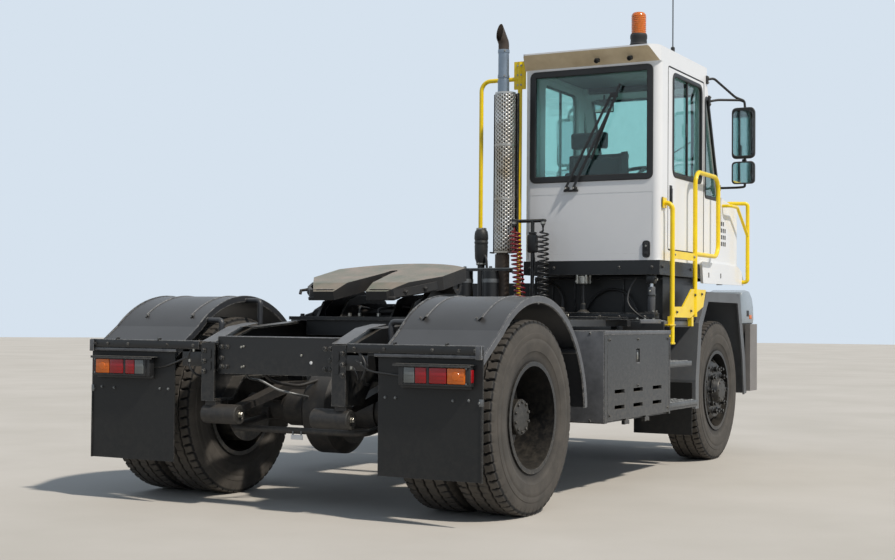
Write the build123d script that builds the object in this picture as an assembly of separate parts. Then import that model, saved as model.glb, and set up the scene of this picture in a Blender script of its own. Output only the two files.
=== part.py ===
"""Terminal tractor: a 4x2 yard tractor with a narrow cab on its right side and a lifting fifth wheel.

Lengths are in millimetres. The pieces are drawn in the vehicle's own axes: +X forward from the rear
axle, +Y to the driver's left from the centreline, +Z up from the ground. At the end they are all moved
by one offset, so that the origin lies on the ground under the middle of the whole machine.
"""
import os
from math import atan2, cos, hypot, pi, radians, sin, sqrt, tan

from build123d import *

# Running gear
WHEELBASE = 3567
TYRE_R = 521
AXLE_Z = 521
TYRE_WIDTH = 276
TYRE_BORE_R = 284
BEAD_HALF = 112
TREAD_HALF = 116
SIDEWALL_R = 400
FLANGE_R = 298
FLANGE_T = 10
RIM_WALL = 9
RIM_FIT = 0.3
REAR_TRACK_HALF = 951.5
DUAL_SPACING = 315
FRONT_TRACK_HALF = 992
KINGPIN_Y = 880
KINGPIN_R = 22
PIVOT_FIT = 0.3
HUB_R = 96
BOLT_CIRCLE = 335
HAND_HOLES = 10
SPINDLE_R = 50

# Chassis frame
REAR_END = -653
RAIL_OUT = 465
RAIL_FLANGE = 85
RAIL_WALL = 10
RAIL_TOP = 1025
RAIL_BOTTOM = 700
RAIL_REAR_TOP = 901
RAIL_REAR_BOTTOM = 584
RAIL_FRONT_TOP = 930
FRONT_END = 4500
BUMPER_WALL = 40

# Rear mudguards, flaps and the pieces between the axles
GUARD_R = 669
GUARD_X = 19
GUARD_Z = 496
GUARD_SHEET = 8
GUARD_OUT = 1256
GUARD_IN = 658
FLAP_X = -636
FLAP_T = 8
FLAP_LOW = 238
BOX_X = (913, 2068)
BOX_Y = (-1272, -620)
BOX_Z = (433, 974)
BOX_WALL = 12
BOX_DOOR_T = 20
DECK_T = 18

# Front fenders and step frame
FENDER_OUT = 1165
FENDER_IN = 620
FENDER_SHEET = 12
FENDER_RIM = 72
TUBE_R = 16
STEP_FRAME_Y = -1250

# Fifth wheel and its lift boom
BOOM_PIVOT = (1620, 960)
LIFT_FOOT = (952, 530)
LIFT_HEAD = (786, 960)
LIFT_Y = 180
TRUNNION = (639, 1240)
PLATE_TOP = 93
PLATE_T = 22
PLATE_HALF = 450
PLATE_TILT = 11.7
KINGPIN_BORE_R = 25.7
PIN_R = 25
ROD_EYE_PLAY = 4

# Cab
CAB_REAR = 2095
CAB_RIGHT = -1186
CAB_LEFT = -189
CAB_SILL = 1446
CAB_EAVES = 2780
CAB_WALL = 45
PILLAR_TOP_X = 3087
COWL = (3424, 1967)
NOSE_TOP = (3890, 1900)
NOSE_FRONT = (4000, 1790)
CAB_FRAME_LOW = 1350
DOOR_X = (2253, 3020)
DOOR_Z = (1523, 2765)
DOOR_GAP = 5
DOOR_HINGE = (3040, -165)
WINDOW_LOW = 2035
WINDOW_HIGH = 2735
GLASS_T = 6
ROOF_TOP = 2884
VISOR_REACH = 120
TILT_PIVOT = (3970, 1360)
TILT_FOOT = (3727, 950)
TILT_HEAD = (3550, 1360)
TILT_Y = -540
TILT_EYE_PLAY = 9

# The widest points, which set the origin
MIRROR_OUT = -1490

LAMP_REACH = 62
DATUM = Vector((FLAP_X - FLAP_T - LAMP_REACH + FRONT_END) / 2, (MIRROR_OUT + GUARD_OUT) / 2, 0)


def block(x, y, z):
    """A box between the low and high limits given for each axis."""
    sides = [high - low for low, high in (x, y, z)]
    middle = [(high + low) / 2 for low, high in (x, y, z)]
    return Pos(*middle) * Box(*sides)


def profile(points, radius=0):
    """A flat closed outline, with every corner rounded if a radius is given."""
    line = FilletPolyline(*points, radius=radius, close=True) if radius else Polyline(*points, close=True)
    return make_face(line)


def across(sketch, y):
    """Extrude an outline drawn in X and Z between two values of Y."""
    return Pos(0, y[1], 0) * Plane.XZ.location * extrude(sketch, amount=y[1] - y[0])


def along(sketch, x):
    """Extrude an outline drawn in Y and Z between two values of X."""
    return Pos(x[0], 0, 0) * Plane.YZ.location * extrude(sketch, amount=x[1] - x[0])


def upward(sketch, z):
    """Extrude an outline drawn in X and Y between two values of Z."""
    return Pos(0, 0, z[0]) * extrude(sketch, amount=z[1] - z[0])


def bar(start, end, radius):
    """A round bar from one point to another."""
    start, end = Vector(start), Vector(end)
    lie = Plane(origin=start, z_dir=end - start).location
    return lie * Cylinder(radius, (end - start).length, align=(Align.CENTER, Align.CENTER, Align.MIN))


def tube(points, radius, bend):
    """A round tube bent to one radius at each corner of its route."""
    route = FilletPolyline(*points, radius=bend)
    section = Plane(origin=route @ 0, z_dir=route % 0) * Circle(radius)
    return sweep(section, path=route)


def turned(points, x=0, z=0):
    """A piece turned about a line along Y, from points given as (y, radius)."""
    half = make_face(Polyline(*[(0, y, r) for y, r in points], close=True))
    return Pos(x, 0, z) * revolve(half, Axis.Y)


def ring(x, z, y, outer, inner):
    """A ring or eye whose axis lies along Y."""
    return turned([(y[0], inner), (y[0], outer), (y[1], outer), (y[1], inner)], x, z)


def pin(x, z, y, radius):
    """A pin along Y."""
    return bar((x, y[0], z), (x, y[1], z), radius)


def mirrored(piece):
    """The piece's twin on the other side of the centreline."""
    return mirror(piece, Plane.XZ)


def pair(piece):
    """A piece and its twin, as one list of two."""
    return [piece, mirrored(piece)]


def joined(pieces):
    """Weld a list of pieces into one."""
    whole = pieces[0]
    for piece in pieces[1:]:
        whole = whole + piece
    return whole


def rail_line(inset=0):
    """Side outline of a frame rail, shrunk by the thickness of its plate for the hollow side."""
    top_kink, low_kink = -300, -380
    points = [
        (REAR_END, RAIL_REAR_BOTTOM), (REAR_END, RAIL_REAR_TOP), (-570, RAIL_REAR_TOP), (top_kink, 985),
        (250, RAIL_TOP), (2250, RAIL_TOP), (2450, RAIL_FRONT_TOP), (FRONT_END - BUMPER_WALL, RAIL_FRONT_TOP),
        (FRONT_END - BUMPER_WALL, RAIL_BOTTOM), (low_kink, RAIL_BOTTOM), (-480, RAIL_REAR_BOTTOM),
    ]
    shape = profile(points)
    return offset(shape, amount=-inset, kind=Kind.INTERSECTION) if inset else shape


def frame_rails():
    """Two pressed channels, open towards each other, with a plate that closes each rear end."""
    inner = RAIL_OUT - RAIL_FLANGE
    rail = across(rail_line(), (inner, RAIL_OUT))
    rail -= across(rail_line(RAIL_WALL), (inner, RAIL_OUT - RAIL_WALL))
    end_plate = block((REAR_END, REAR_END + RAIL_WALL), (inner, RAIL_OUT), (RAIL_REAR_BOTTOM, RAIL_REAR_TOP))
    slots = [block((REAR_END, REAR_END + RAIL_WALL), (410, 435), z) for z in ((690, 740), (780, 830))]
    return pair(rail + (end_plate - joined(slots)))


def crossmembers():
    """The members that tie the rails, each from web to web, and the lift cylinders' cradle."""
    inner, web = RAIL_OUT - RAIL_FLANGE, RAIL_OUT - RAIL_WALL
    tail = block((-620, -500), (0.3 - inner, inner - 0.3), (734, 936)) + block((-610, -510), (-web, web), (750, 880))
    pieces = [tail, block((2300, 2380), (-web, web), (760, 900)), block((4300, 4380), (-web, web), (740, 890))]
    foot_x, foot_z = LIFT_FOOT
    cradle = block((foot_x - 60, foot_x + 60), (-inner, inner), (400, 470))
    for side in (-1, 1):
        hanger = sorted((side * (inner - 14), side * inner))
        cradle += block((foot_x - 60, foot_x + 60), hanger, (400, RAIL_BOTTOM + 60))
        for edge in (-48, 34):
            middle = side * LIFT_Y
            cradle += block((foot_x - 40, foot_x + 40), (middle + edge, middle + edge + 14), (470, foot_z + 35))
        cradle += pin(foot_x, foot_z, (side * LIFT_Y - 48, side * LIFT_Y + 48), PIN_R - 5)
    pivot_x, pivot_z = BOOM_PIVOT
    beam = block((pivot_x + 90, pivot_x + 150), (-web, web), (820, 1000))
    for side in (-1, 1):
        lug = sorted((side * (inner - 25), side * inner))
        beam += block((pivot_x - 50, pivot_x + 90), lug, (pivot_z - 55, pivot_z + 45))
        beam += pin(pivot_x, pivot_z, sorted((side * 270, side * inner)), PIN_R)
    return pieces + [cradle, beam]


def leaf_spring(ends, seat_z, y, eye_r, eye_y):
    """One leaf pack from rear eye to front eye, clamped at its middle, with its two rubber-bushed eyes."""
    (rear_x, rear_z), (front_x, front_z) = ends
    middle = (rear_x + front_x) / 2
    thick = 58
    line = [
        (rear_x, rear_z - 14), (middle - 60, seat_z), (middle + 60, seat_z), (front_x, front_z - 14),
        (front_x, front_z + 14), (middle + 60, seat_z + thick), (middle - 60, seat_z + thick), (rear_x, rear_z + 14),
    ]
    spring = across(profile(line), y)
    return spring + pin(rear_x, rear_z, eye_y, eye_r) + pin(front_x, front_z, y, 38)


def leaf_springs():
    """Four leaf packs; the rear ones end in the wide bushes seen under the rails' ends."""
    rear = leaf_spring(((-600, 512), (640, 640)), AXLE_Z + 90, (300, 372), 54, (247, 466))
    rear += block((-628, -572), (385, 455), (550, RAIL_REAR_BOTTOM))
    rear += block((600, 680), (300, 379.7), (620, 712)) + block((600, 680), (372, 440), (660, RAIL_BOTTOM))
    front = leaf_spring(((WHEELBASE - 620, 590), (WHEELBASE + 560, 590)), AXLE_Z + 9, (395, 460), 38, (395, 460))
    for middle in (WHEELBASE - 620, WHEELBASE + 560):
        front += block((middle - 40, middle + 40), (395, 460), (600, RAIL_BOTTOM))
    return pair(rear) + pair(front)


def rear_axle():
    """Driven axle: tubes, round differential casing, spindles, propeller shaft and anti-roll bar."""
    casing = turned([(-120, 0), (-120, 190), (-70, 250), (70, 250), (120, 190), (120, 0)], 0, AXLE_Z)
    axle = casing + pin(0, AXLE_Z, (-590, 590), 75) + pin(0, AXLE_Z, (-1080, 1080), SPINDLE_R)
    axle += turned([(-300, 0), (-300, 105), (300, 105), (300, 0)], 0, AXLE_Z)
    axle += bar((200, 0, AXLE_Z), (460, 0, AXLE_Z + 10), 95)
    axle += bar((440, 0, AXLE_Z + 10), (2420, 0, 660), 42)
    axle += tube([(-60, -440, 470), (-420, -440, 425), (-420, 440, 425), (-60, 440, 470)], 18, 60)
    for side in (-1, 1):
        pad = sorted((side * 300, side * 372))
        axle += block((-38, 78), pad, (AXLE_Z, AXLE_Z + 89.7))
        axle += block((-90, -30), sorted((side * 415, side * 465)), (455, AXLE_Z))
    return [axle]


def front_axle():
    """Forged beam that drops between the springs and ends in the bored kingpin eyes."""
    line = [
        (-KINGPIN_Y, 462), (-760, 462), (-600, 420), (600, 420), (760, 462), (KINGPIN_Y, 462),
        (KINGPIN_Y, 578), (740, 578), (560, 529.7), (-560, 529.7), (-740, 578), (-KINGPIN_Y, 578),
    ]
    beam = along(profile(line), (WHEELBASE - 45, WHEELBASE + 45))
    for side in (-1, 1):
        y = side * KINGPIN_Y
        beam += bar((WHEELBASE, y, 462), (WHEELBASE, y, 578), 48)
        beam -= bar((WHEELBASE, y, 400), (WHEELBASE, y, 640), KINGPIN_R + PIVOT_FIT)
    return [beam]


def knuckle(side):
    """Yoke round the beam's eye with its kingpin, wheel spindle, backing plate and steering arm."""
    lie = side * KINGPIN_Y
    body = bar((WHEELBASE, lie, 400), (WHEELBASE, lie, 640), KINGPIN_R)
    for low, high in ((400, 455), (585, 640)):
        body += bar((WHEELBASE, lie, low), (WHEELBASE, lie, high), 46)
        body += block((WHEELBASE - 46, WHEELBASE + 46), sorted((lie, side * 948)), (low, high))
    body += block((WHEELBASE - 60, WHEELBASE + 60), sorted((side * 936, side * 948)), (400, 640))
    body += pin(WHEELBASE, AXLE_Z, sorted((side * 936, side * 1080)), SPINDLE_R)
    arm_x, arm_y = STEER_ARM
    body += block((arm_x - 28, WHEELBASE), sorted((side * (arm_y - 26), side * (arm_y + 26))), (404, 428))
    body += bar((arm_x, side * arm_y, 380), (arm_x, side * arm_y, 428), 12)
    return [body]


STEER_ARM = (WHEELBASE - 150, KINGPIN_Y)


def tie_rod():
    """Track rod between the two steering arms, bored for their ball pins."""
    x, y = STEER_ARM
    rod = bar((x, -y, 386), (x, y, 386), 16)
    for side in (-1, 1):
        rod += bar((x, side * y, 373), (x, side * y, 403.7), 26)
        rod -= bar((x, side * y, 360), (x, side * y, 420), 12 + PIVOT_FIT)
    return [rod]


def tyre(x, y):
    """One tyre as a closed ring; its bore stands off the rim by the rim fit."""
    line = [
        (y - BEAD_HALF, TYRE_BORE_R), (y - TYRE_WIDTH / 2, SIDEWALL_R), (y - TREAD_HALF, TYRE_R),
        (y + TREAD_HALF, TYRE_R), (y + TYRE_WIDTH / 2, SIDEWALL_R), (y + BEAD_HALF, TYRE_BORE_R),
    ]
    return turned(line, x, AXLE_Z)


def rim_barrel(y):
    """Rolled rim with a flange each side, as (y, radius) points round its wall."""
    seat, inner = TYRE_BORE_R - RIM_FIT, TYRE_BORE_R - RIM_FIT - RIM_WALL
    inside, outside = BEAD_HALF + 4.5, BEAD_HALF + 4.5 + FLANGE_T
    return [
        (y - outside, inner), (y - outside, FLANGE_R), (y - inside, FLANGE_R), (y - inside, seat),
        (y + inside, seat), (y + inside, FLANGE_R), (y + outside, FLANGE_R), (y + outside, inner),
    ]


def disc_holes(disc, x, y, radius, hole_r):
    """Cut the ring of hand holes through a wheel disc."""
    for turn in range(HAND_HOLES):
        angle = 2 * pi * (turn + 0.5) / HAND_HOLES
        hole_x, hole_z = x + radius * cos(angle), AXLE_Z + radius * sin(angle)
        disc -= pin(hole_x, hole_z, (y - 60, y + 60), hole_r)
    return disc


def rear_wheel():
    """Left rear rims as one piece: two barrels, the bolted discs between them, drum and hub."""
    middle = REAR_TRACK_HALF
    inner_r = TYRE_BORE_R - RIM_FIT - RIM_WALL
    wheel = joined([turned(rim_barrel(middle + side * DUAL_SPACING / 2), 0, AXLE_Z) for side in (-1, 1)])
    disc = turned([
        (middle - 14, 150), (middle - 14, 190), (middle - 64, inner_r + 3), (middle - 48, inner_r + 3),
        (middle, 205), (middle + 48, inner_r + 3), (middle + 64, inner_r + 3), (middle + 14, 190), (middle + 14, 150),
    ], 0, AXLE_Z)
    wheel += disc_holes(disc, 0, middle, 222, 26)
    wheel += turned([
        (620, SPINDLE_R + PIVOT_FIT), (620, 210), (860, 210), (middle - 14, 180), (middle + 14, 180),
        (middle + 14, 125), (1120, HUB_R), (1160, HUB_R), (1160, 0), (1090, 0), (1090, SPINDLE_R + PIVOT_FIT),
    ], 0, AXLE_Z)
    return wheel


def front_wheel():
    """Left front rim: barrel, outward disc, hub with its cap, and the brake drum inside."""
    y, x = FRONT_TRACK_HALF, WHEELBASE
    face = y + BEAD_HALF
    inner_r = TYRE_BORE_R - RIM_FIT - RIM_WALL
    wheel = turned(rim_barrel(y), x, AXLE_Z)
    disc = turned([(face - 14, 120), (face - 14, 185), (y + 28, inner_r + 2), (y + 42, inner_r + 2),
                   (face, 198), (face, 120)], x, AXLE_Z)
    wheel += disc_holes(disc, x, y + 75, 226, 25)
    wheel += turned([
        (955, SPINDLE_R + PIVOT_FIT), (955, 205), (face - 60, 205), (face - 30, 130), (face, 130), (face, 105),
        (face + 45, 88), (face + 45, 0), (1090, 0), (1090, SPINDLE_R + PIVOT_FIT),
    ], x, AXLE_Z)
    return wheel


def engine_block():
    """Engine and gearbox as one plain mass between the rails, and the radiator ahead of them."""
    engine = block((2700, 3500), (-250, 330), (630, 925)) + block((2700, 3500), (-115, 330), (925, 1230))
    engine += block((2440, 2700), (-170, 170), (560, 920))
    web = RAIL_OUT - RAIL_WALL - 0.3
    engine += block((2800, 2880), (-web, web), (770, 830))
    radiator = block((4130, 4200), (-370, 370), (600, 925)) + block((4130, 4200), (-web, web), (760, 800))
    radiator += block((4130, 4200), (-115, 370), (925, 940)) + block((4130, 4200), (-115, 560), (936, 1240))
    return [engine, radiator]


def engine_cover():
    """Low cover beside the cab over the engine, open below, with a slotted front."""
    x, y, z, sheet = (2300, 4290), (-140, FENDER_IN), (RAIL_FRONT_TOP + 0.3, 1300), 12
    cover = block(x, y, z)
    cover -= block((x[0] + sheet, x[1] - sheet), (y[0] + sheet, y[1] - sheet), (z[0], z[1] - sheet))
    cover -= block((x[0], 2450), (y[0], y[1]), (z[0], RAIL_TOP + DECK_T))
    for row in range(6):
        low = 985 + row * 48
        cover -= block((x[1] - sheet, x[1]), (y[0] + 80, y[1] - 80), (low, low + 26))
    return [cover]


def arc_band(radius, thick, start, end, centre):
    """A strip bent round a centre, between two angles in degrees."""
    outer = CenterArc(centre, radius, start, end - start)
    inner = CenterArc(centre, radius - thick, start, end - start)
    return make_face([outer, Line(outer @ 1, inner @ 1), inner, Line(inner @ 0, outer @ 0)])


def guard_band(raised, depth):
    """Side outline of a mudguard strip: an arc over the tyre, then a straight run down to the flap."""
    start, end, foot_z = 4, 133, 850
    rows = []
    for step_out in (raised, raised - depth):
        arc = CenterArc((GUARD_X, GUARD_Z), GUARD_R + step_out, start, end - start)
        rows.append((arc, (FLAP_X, foot_z + step_out * 1.2)))
    (outer, outer_foot), (inner, inner_foot) = rows
    edges = [outer, Line(outer @ 1, outer_foot), Line(outer_foot, inner_foot), Line(inner_foot, inner @ 1), inner]
    return make_face(edges + [Line(inner @ 0, outer @ 0)])


def rear_mudguards():
    """Moulded guards over the twin wheels, each with a rolled lip at both edges and three steel stays."""
    guard = across(guard_band(0, GUARD_SHEET), (GUARD_IN, GUARD_OUT))
    for lip in ((GUARD_OUT - 10, GUARD_OUT), (GUARD_IN, GUARD_IN + 10)):
        guard += across(guard_band(4, 34), lip)
    reach = GUARD_R - GUARD_SHEET - 17
    for angle, foot_z in ((35, 868), (90, 975), (125, 850)):
        x = GUARD_X + reach * cos(radians(angle))
        z = GUARD_Z + reach * sin(radians(angle))
        if z - foot_z > 60:
            guard += tube([(x, GUARD_OUT - 5, z), (x, 560, z), (x, 560, foot_z), (x, RAIL_OUT, foot_z)], 16, 24)
        else:
            guard += bar((x, GUARD_OUT - 5, z), (x, RAIL_OUT, z), 16)
    return pair(guard)


def mud_flaps():
    """Rubber sheets: two behind the twin wheels with their steel clamp bar, two behind the front wheels."""
    rear = block((FLAP_X - FLAP_T, FLAP_X), (GUARD_IN, GUARD_OUT), (FLAP_LOW, RAIL_REAR_TOP - 12))
    rear += block((FLAP_X - 2 * FLAP_T, FLAP_X - FLAP_T), (GUARD_IN - 60, GUARD_OUT), (862, RAIL_REAR_TOP + 6))
    rear += block((FLAP_X - 2 * FLAP_T, FLAP_X), (RAIL_OUT, GUARD_IN), (850, 890))
    front = block((WHEELBASE - 653, WHEELBASE - 645), (700, 1140), (225, 600))
    return pair(rear) + pair(front)


def lamp_row(piece_x, y, z):
    """A lamp cluster's housing with its steel tray."""
    housing = block((piece_x - 52, piece_x), y, z)
    housing = fillet(housing.edges().filter_by(Axis.X), 8)
    return housing + block((piece_x - LAMP_REACH, piece_x), (y[0] - 8, y[1] + 8), (z[1], z[1] + 5))


def lamps():
    """Tail lamp clusters on the flaps and headlamp pods on the bumper's corners."""
    tail = lamp_row(FLAP_X - FLAP_T, (800, 1200), (707, 812))
    pod_line = [(4085, 1020), (4360, 1020), (4400, 1060), (4370, 1180), (4250, 1290), (4056, 1290), (4050, 1150)]
    pod = across(profile(pod_line, 18), (870, FENDER_OUT))
    pod += block((4100, 4250), (FENDER_IN, 880), (1020, 1056))
    return pair(tail) + pair(pod)


def bumper():
    """Wrap-round front bumper, open behind, bolted to the rails' ends, with a tow jaw under its middle."""
    half, z = 1190, (490, 1020)
    outer = upward(profile([(4204, -half), (FRONT_END, -half), (FRONT_END, half), (4204, half)]), z)
    outer = fillet(outer.edges().filter_by(Axis.Z).group_by(Axis.X)[-1], 120)
    inner = block((4204, FRONT_END - BUMPER_WALL), (-half + BUMPER_WALL, half - BUMPER_WALL), z)
    inner = fillet(inner.edges().filter_by(Axis.Z).group_by(Axis.X)[-1], 80)
    shell = outer - inner
    jaw = block((4400, FRONT_END + 0), (-70, 70), (560, 640)) - block((4420, FRONT_END), (-45, 45), (580, 620))
    shell -= block((FRONT_END - BUMPER_WALL, FRONT_END), (-70, 70), (560, 640))
    shell -= bar((TOW_PIN_X, 0, 640), (TOW_PIN_X, 0, z[1]), TOW_BORE_R + 4)
    return [shell + (jaw - bar((TOW_PIN_X, 0, 540), (TOW_PIN_X, 0, 660), TOW_BORE_R))]


TOW_BORE_R = 20
TOW_PIN_X = FRONT_END - 45


def battery_box():
    """Side locker on two arms from the rail, open outward where its drop door closes it."""
    door_x, door_z = BOX_DOOR
    shell = block(BOX_X, (BOX_Y[0] + BOX_DOOR_T, BOX_Y[1]), BOX_Z)
    shell = fillet(shell.edges().filter_by(Axis.Z).group_by(Axis.X)[0].sort_by(Axis.Y)[0:1], 18)
    inner_y = (BOX_Y[0] + BOX_DOOR_T, BOX_Y[1] - BOX_WALL)
    shell -= block((door_x[0] + 10, door_x[1] - 10), inner_y, (door_z[0] + 12, door_z[1] - 10))
    cap = block(BOX_X, (BOX_Y[0], BOX_Y[0] + BOX_DOOR_T + 10), (BOX_Z[1] - 14, BOX_Z[1]))
    shell += cap + block((BOX_X[0], door_x[0] - DOOR_GAP), (BOX_Y[0], BOX_Y[0] + BOX_DOOR_T + 1), BOX_Z)
    shell += block((door_x[1] + DOOR_GAP, BOX_X[1]), (BOX_Y[0], BOX_Y[0] + BOX_DOOR_T + 1), BOX_Z)
    for x in (1080, 1850):
        shell += block((x, x + 60), (BOX_Y[1], -RAIL_OUT), (740, 880))
    hinge_x, hinge_z = BOX_HINGE
    for x in hinge_x:
        for step in (-38, 24):
            ear = block((x + step, x + step + 14), (BOX_Y[0] + 2, BOX_Y[0] + 24), (hinge_z - 10, BOX_Z[0]))
            shell += ear
        shell += bar((x - 38, BOX_HINGE_Y, hinge_z), (x + 38, BOX_HINGE_Y, hinge_z), 5)
    return [shell]


BOX_DOOR = ((962, 2040), (446, 954))
BOX_HINGE = ((1290, 1640), 419)
BOX_HINGE_Y = BOX_Y[0] + 12


def battery_box_door():
    """Drop door with a hand recess and six vent slots, hung on two pins under the box."""
    door_x, door_z = BOX_DOOR
    leaf = block(door_x, (BOX_Y[0], BOX_Y[0] + BOX_DOOR_T - 0.3), door_z)
    leaf -= block((1430, 1500), (BOX_Y[0], BOX_Y[0] + 14), (775, 868))
    for x in (1075, 1390, 1735):
        for z in (508, 602):
            leaf -= block((x, x + 165), (BOX_Y[0] - 1, BOX_Y[0] + BOX_DOOR_T), (z, z + 24))
    hinge_x, hinge_z = BOX_HINGE
    for x in hinge_x:
        arm = block((x - 23, x + 23), (BOX_Y[0] + 2, BOX_Y[0] + 18), (hinge_z, door_z[0] + 4))
        arm += bar((x - 23, BOX_HINGE_Y, hinge_z), (x + 23, BOX_HINGE_Y, hinge_z), 10)
        leaf += arm
        leaf -= bar((x - 40, BOX_HINGE_Y, hinge_z), (x + 40, BOX_HINGE_Y, hinge_z), 5 + PIVOT_FIT)
    return [leaf]


def fuel_tank():
    """Left side tank with rounded long edges, a filler neck and its arms to the rail."""
    tank = block((1010, 2010), (640, 1240), (450, 985))
    tank = fillet(tank.edges().filter_by(Axis.X), 80)
    tank += bar((1200, 1120, 960), (1200, 1120, 1002), 55)
    for x in (1150, 1800):
        tank += block((x, x + 60), (RAIL_OUT, 700), (740, 880))
    return [tank]


def rear_deck():
    """Deck plates over the rails behind the cab, with turned-down edges."""
    z = (RAIL_TOP, RAIL_TOP + DECK_T)
    deck = block((1700, 2050), (-1000, 1000), z) + block((2050, 2200), (-180, 1000), z)
    for side in (-1, 1):
        deck += block((985, 1700), sorted((side * 400, side * 1000)), z)
        deck += block((985, 2050), sorted((side * 992, side * 1000)), (1003, z[1]))
    return [deck]


def side_steps():
    """Right-hand entry steps: three treads on a back panel that bolts to the locker and the rail."""
    panel_y = (-950, -938)
    steps = block((BOX_X[1] + 0.3, WHEELBASE - 707), panel_y, (430, 1036))
    steps += block((BOX_X[1] + 0.3, BOX_X[1] + 8), (-1225, panel_y[1]), (430, 1000))
    treads = [
        # far end in x, z limits
        (2779, (442, 486)),
        (2645, (729, 762)),
        (2599, (1000, 1036)),
    ]
    for far_x, z in treads:
        steps += block((BOX_X[1] + 0.3, far_x), (-1225, panel_y[0]), z)
    steps += block((2180, 2260), (panel_y[1], -RAIL_OUT), (800, 860))
    return [steps]


def step_rails():
    """Yellow handrail frame beside the entry: tube A, looped tube B and the two flat plates between."""
    y = STEP_FRAME_Y
    a_x, b_x, loop_x = 2165, 2640, 3165
    rail_a = tube([(a_x - 4, CAB_RIGHT - 7, 1829), (a_x, y, 1829), (a_x, y, 890)], TUBE_R, 45)
    rail_a += block((a_x - 40, a_x + 30), (CAB_RIGHT - 13, CAB_RIGHT - 7), (1795, 1865))
    rail_b = tube([(b_x, y, 1070), (b_x, y, 2085), (loop_x, y, 2085), (loop_x, y, 1760)], TUBE_R, 95)
    rail_b += tube([(loop_x, y, 1765), (loop_x, y, 1508), (b_x + 6, y, 1508)], TUBE_R - 0.5, 95)
    frame = rail_a + rail_b + block((a_x, b_x), (y - 5, y + 5), (1458, 1510))
    gusset = profile([
        (a_x, 1065), (a_x, 1135), (2370, 1138), (2560, 1262), (2870, 1262), (2810, 1142), (2660, 1098), (2530, 1063),
    ])
    frame += across(gusset, (y - 5, y + 5))
    for x in (a_x, 2575):
        frame += block((x - 20, x + 20), (y - 5, -1225), (1005, 1072))
    return [frame]


FENDER_LINE = [
    # x before or behind the front axle, z
    (WHEELBASE + reach, z)
    for reach, z in ((-645, 414), (-645, 620), (-577, 1028), (-392, 1256),
                     (433, 1254), (583, 760), (624, 476))
]


def shifted_line(points, inset):
    """An open line of points moved sideways by the inset, with mitred corners."""
    moved = []
    for index, (x, z) in enumerate(points):
        before = points[max(index - 1, 0)]
        after = points[min(index + 1, len(points) - 1)]
        ways = []
        for (x0, z0), (x1, z1) in (((before), (x, z)), ((x, z), (after))):
            length = hypot(x1 - x0, z1 - z0)
            if length:
                ways.append(((z1 - z0) / length, -(x1 - x0) / length))
        nx, nz = sum(way[0] for way in ways), sum(way[1] for way in ways)
        scale = inset * len(ways) / (nx * nx + nz * nz)
        moved.append((x + nx * scale, z + nz * scale))
    return moved


def front_fenders():
    """Angular arches over the steered wheels: a thin liner with a wide flange round its outer face."""
    liner = profile(FENDER_LINE + shifted_line(FENDER_LINE, FENDER_SHEET)[::-1])
    flange = profile(FENDER_LINE + shifted_line(FENDER_LINE, FENDER_RIM)[::-1])
    fender = across(liner, (FENDER_IN, FENDER_OUT)) + across(flange, (FENDER_OUT - FENDER_SHEET, FENDER_OUT))
    right = mirrored(fender)
    for x in (WHEELBASE - 337, WHEELBASE + 293):
        right += block((x, x + 40), (-700, -390), (1215, 1248))
        right += block((x, x + 40), (-440, -390), (RAIL_FRONT_TOP, 1215))
    return [fender, right]


def exhaust_stack():
    """Stack behind the cab: silencer pipe with a turned-out mouth, perforated shield and back channel."""
    x, y = STACK
    pipe = bar((x, y, RAIL_TOP + DECK_T), (x, y, 1490), 50)
    pipe += tube([(x, y, 1490), (x, y, 2960), (x - 85, y + 75, 3065)], 33, 90)
    pipe += bar((x, y, 2600), (x, y, 2690), 38)
    shield = bar((x, y, 1500), (x, y, 2600), 60.5) - bar((x, y, 1500), (x, y, 2600), 57)
    for z in (1500, 2560):
        shield += bar((x, y, z), (x, y, z + 40), 60.5) - bar((x, y, z), (x, y, z + 40), 33.3)
    channel = block((x + 40, x + 66), (y - 92, y + 92), (1500, 2600))
    channel -= block((x + 40, x + 62), (y - 88, y + 88), (1500, 2600))
    for z in (1600, 2480):
        channel += block((x + 60.8, x + 64), (y - 40, y + 40), (z, z + 30))
    return [pipe, shield, channel]


STACK = (1900, -118)


def guard_hoop():
    """Yellow guard hoop round the stack, its right leg beside the cab and its left leg in the sleeve."""
    x, left_y, right_y = 2125, 165, -138
    hoop = tube([(x, left_y, 1676), (x, left_y, 2733), (x, right_y, 2733)], 15, 70)
    hoop += bar((x, right_y, RAIL_TOP + DECK_T), (x, right_y, 2850), 16)
    hoop += block((x - 8, x + 8), (CAB_LEFT + 8, -95), (2660, 2855))
    return [hoop]


def intake_sleeve():
    """Black tapered sleeve on a stand pipe, which carries the hoop's left leg."""
    x, y = 2125, 158
    low = Pos(x, y, 1430) * Rectangle(64, 64)
    high = Pos(x, y, 1676) * Rectangle(100, 104)
    return [loft([low, high]) + bar((x, y, RAIL_TOP + DECK_T), (x, y, 1440), 26)]


def air_tanks():
    """Two upright air reservoirs on the deck under one strap bar."""
    base = RAIL_TOP + DECK_T
    tanks = [bar((1765, y, base), (1765, y, 1370), 56) for y in (-96, 100)]
    strap = block((1735, 1795), (-250, 260), (1370, 1382))
    foot = block((1735, 1795), (248, 260), (base, 1382))
    return [joined(tanks + [strap, foot])]


HOSES = [
    # top x, top y, foot x, foot y
    (1850, -229, 1850, -286),
    (1900, -424, 1900, -427),
]
HOSE_HIGH = 1682
HOSE_LOW = 1120
HOSE_COIL_R = 44


def hose_line(index):
    """Foot, head and direction of one hanging hose."""
    top_x, top_y, foot_x, foot_y = HOSES[index]
    foot, head = Vector(foot_x, foot_y, HOSE_LOW), Vector(top_x, top_y, HOSE_HIGH)
    return foot, head, (head - foot).normalized()


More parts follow.
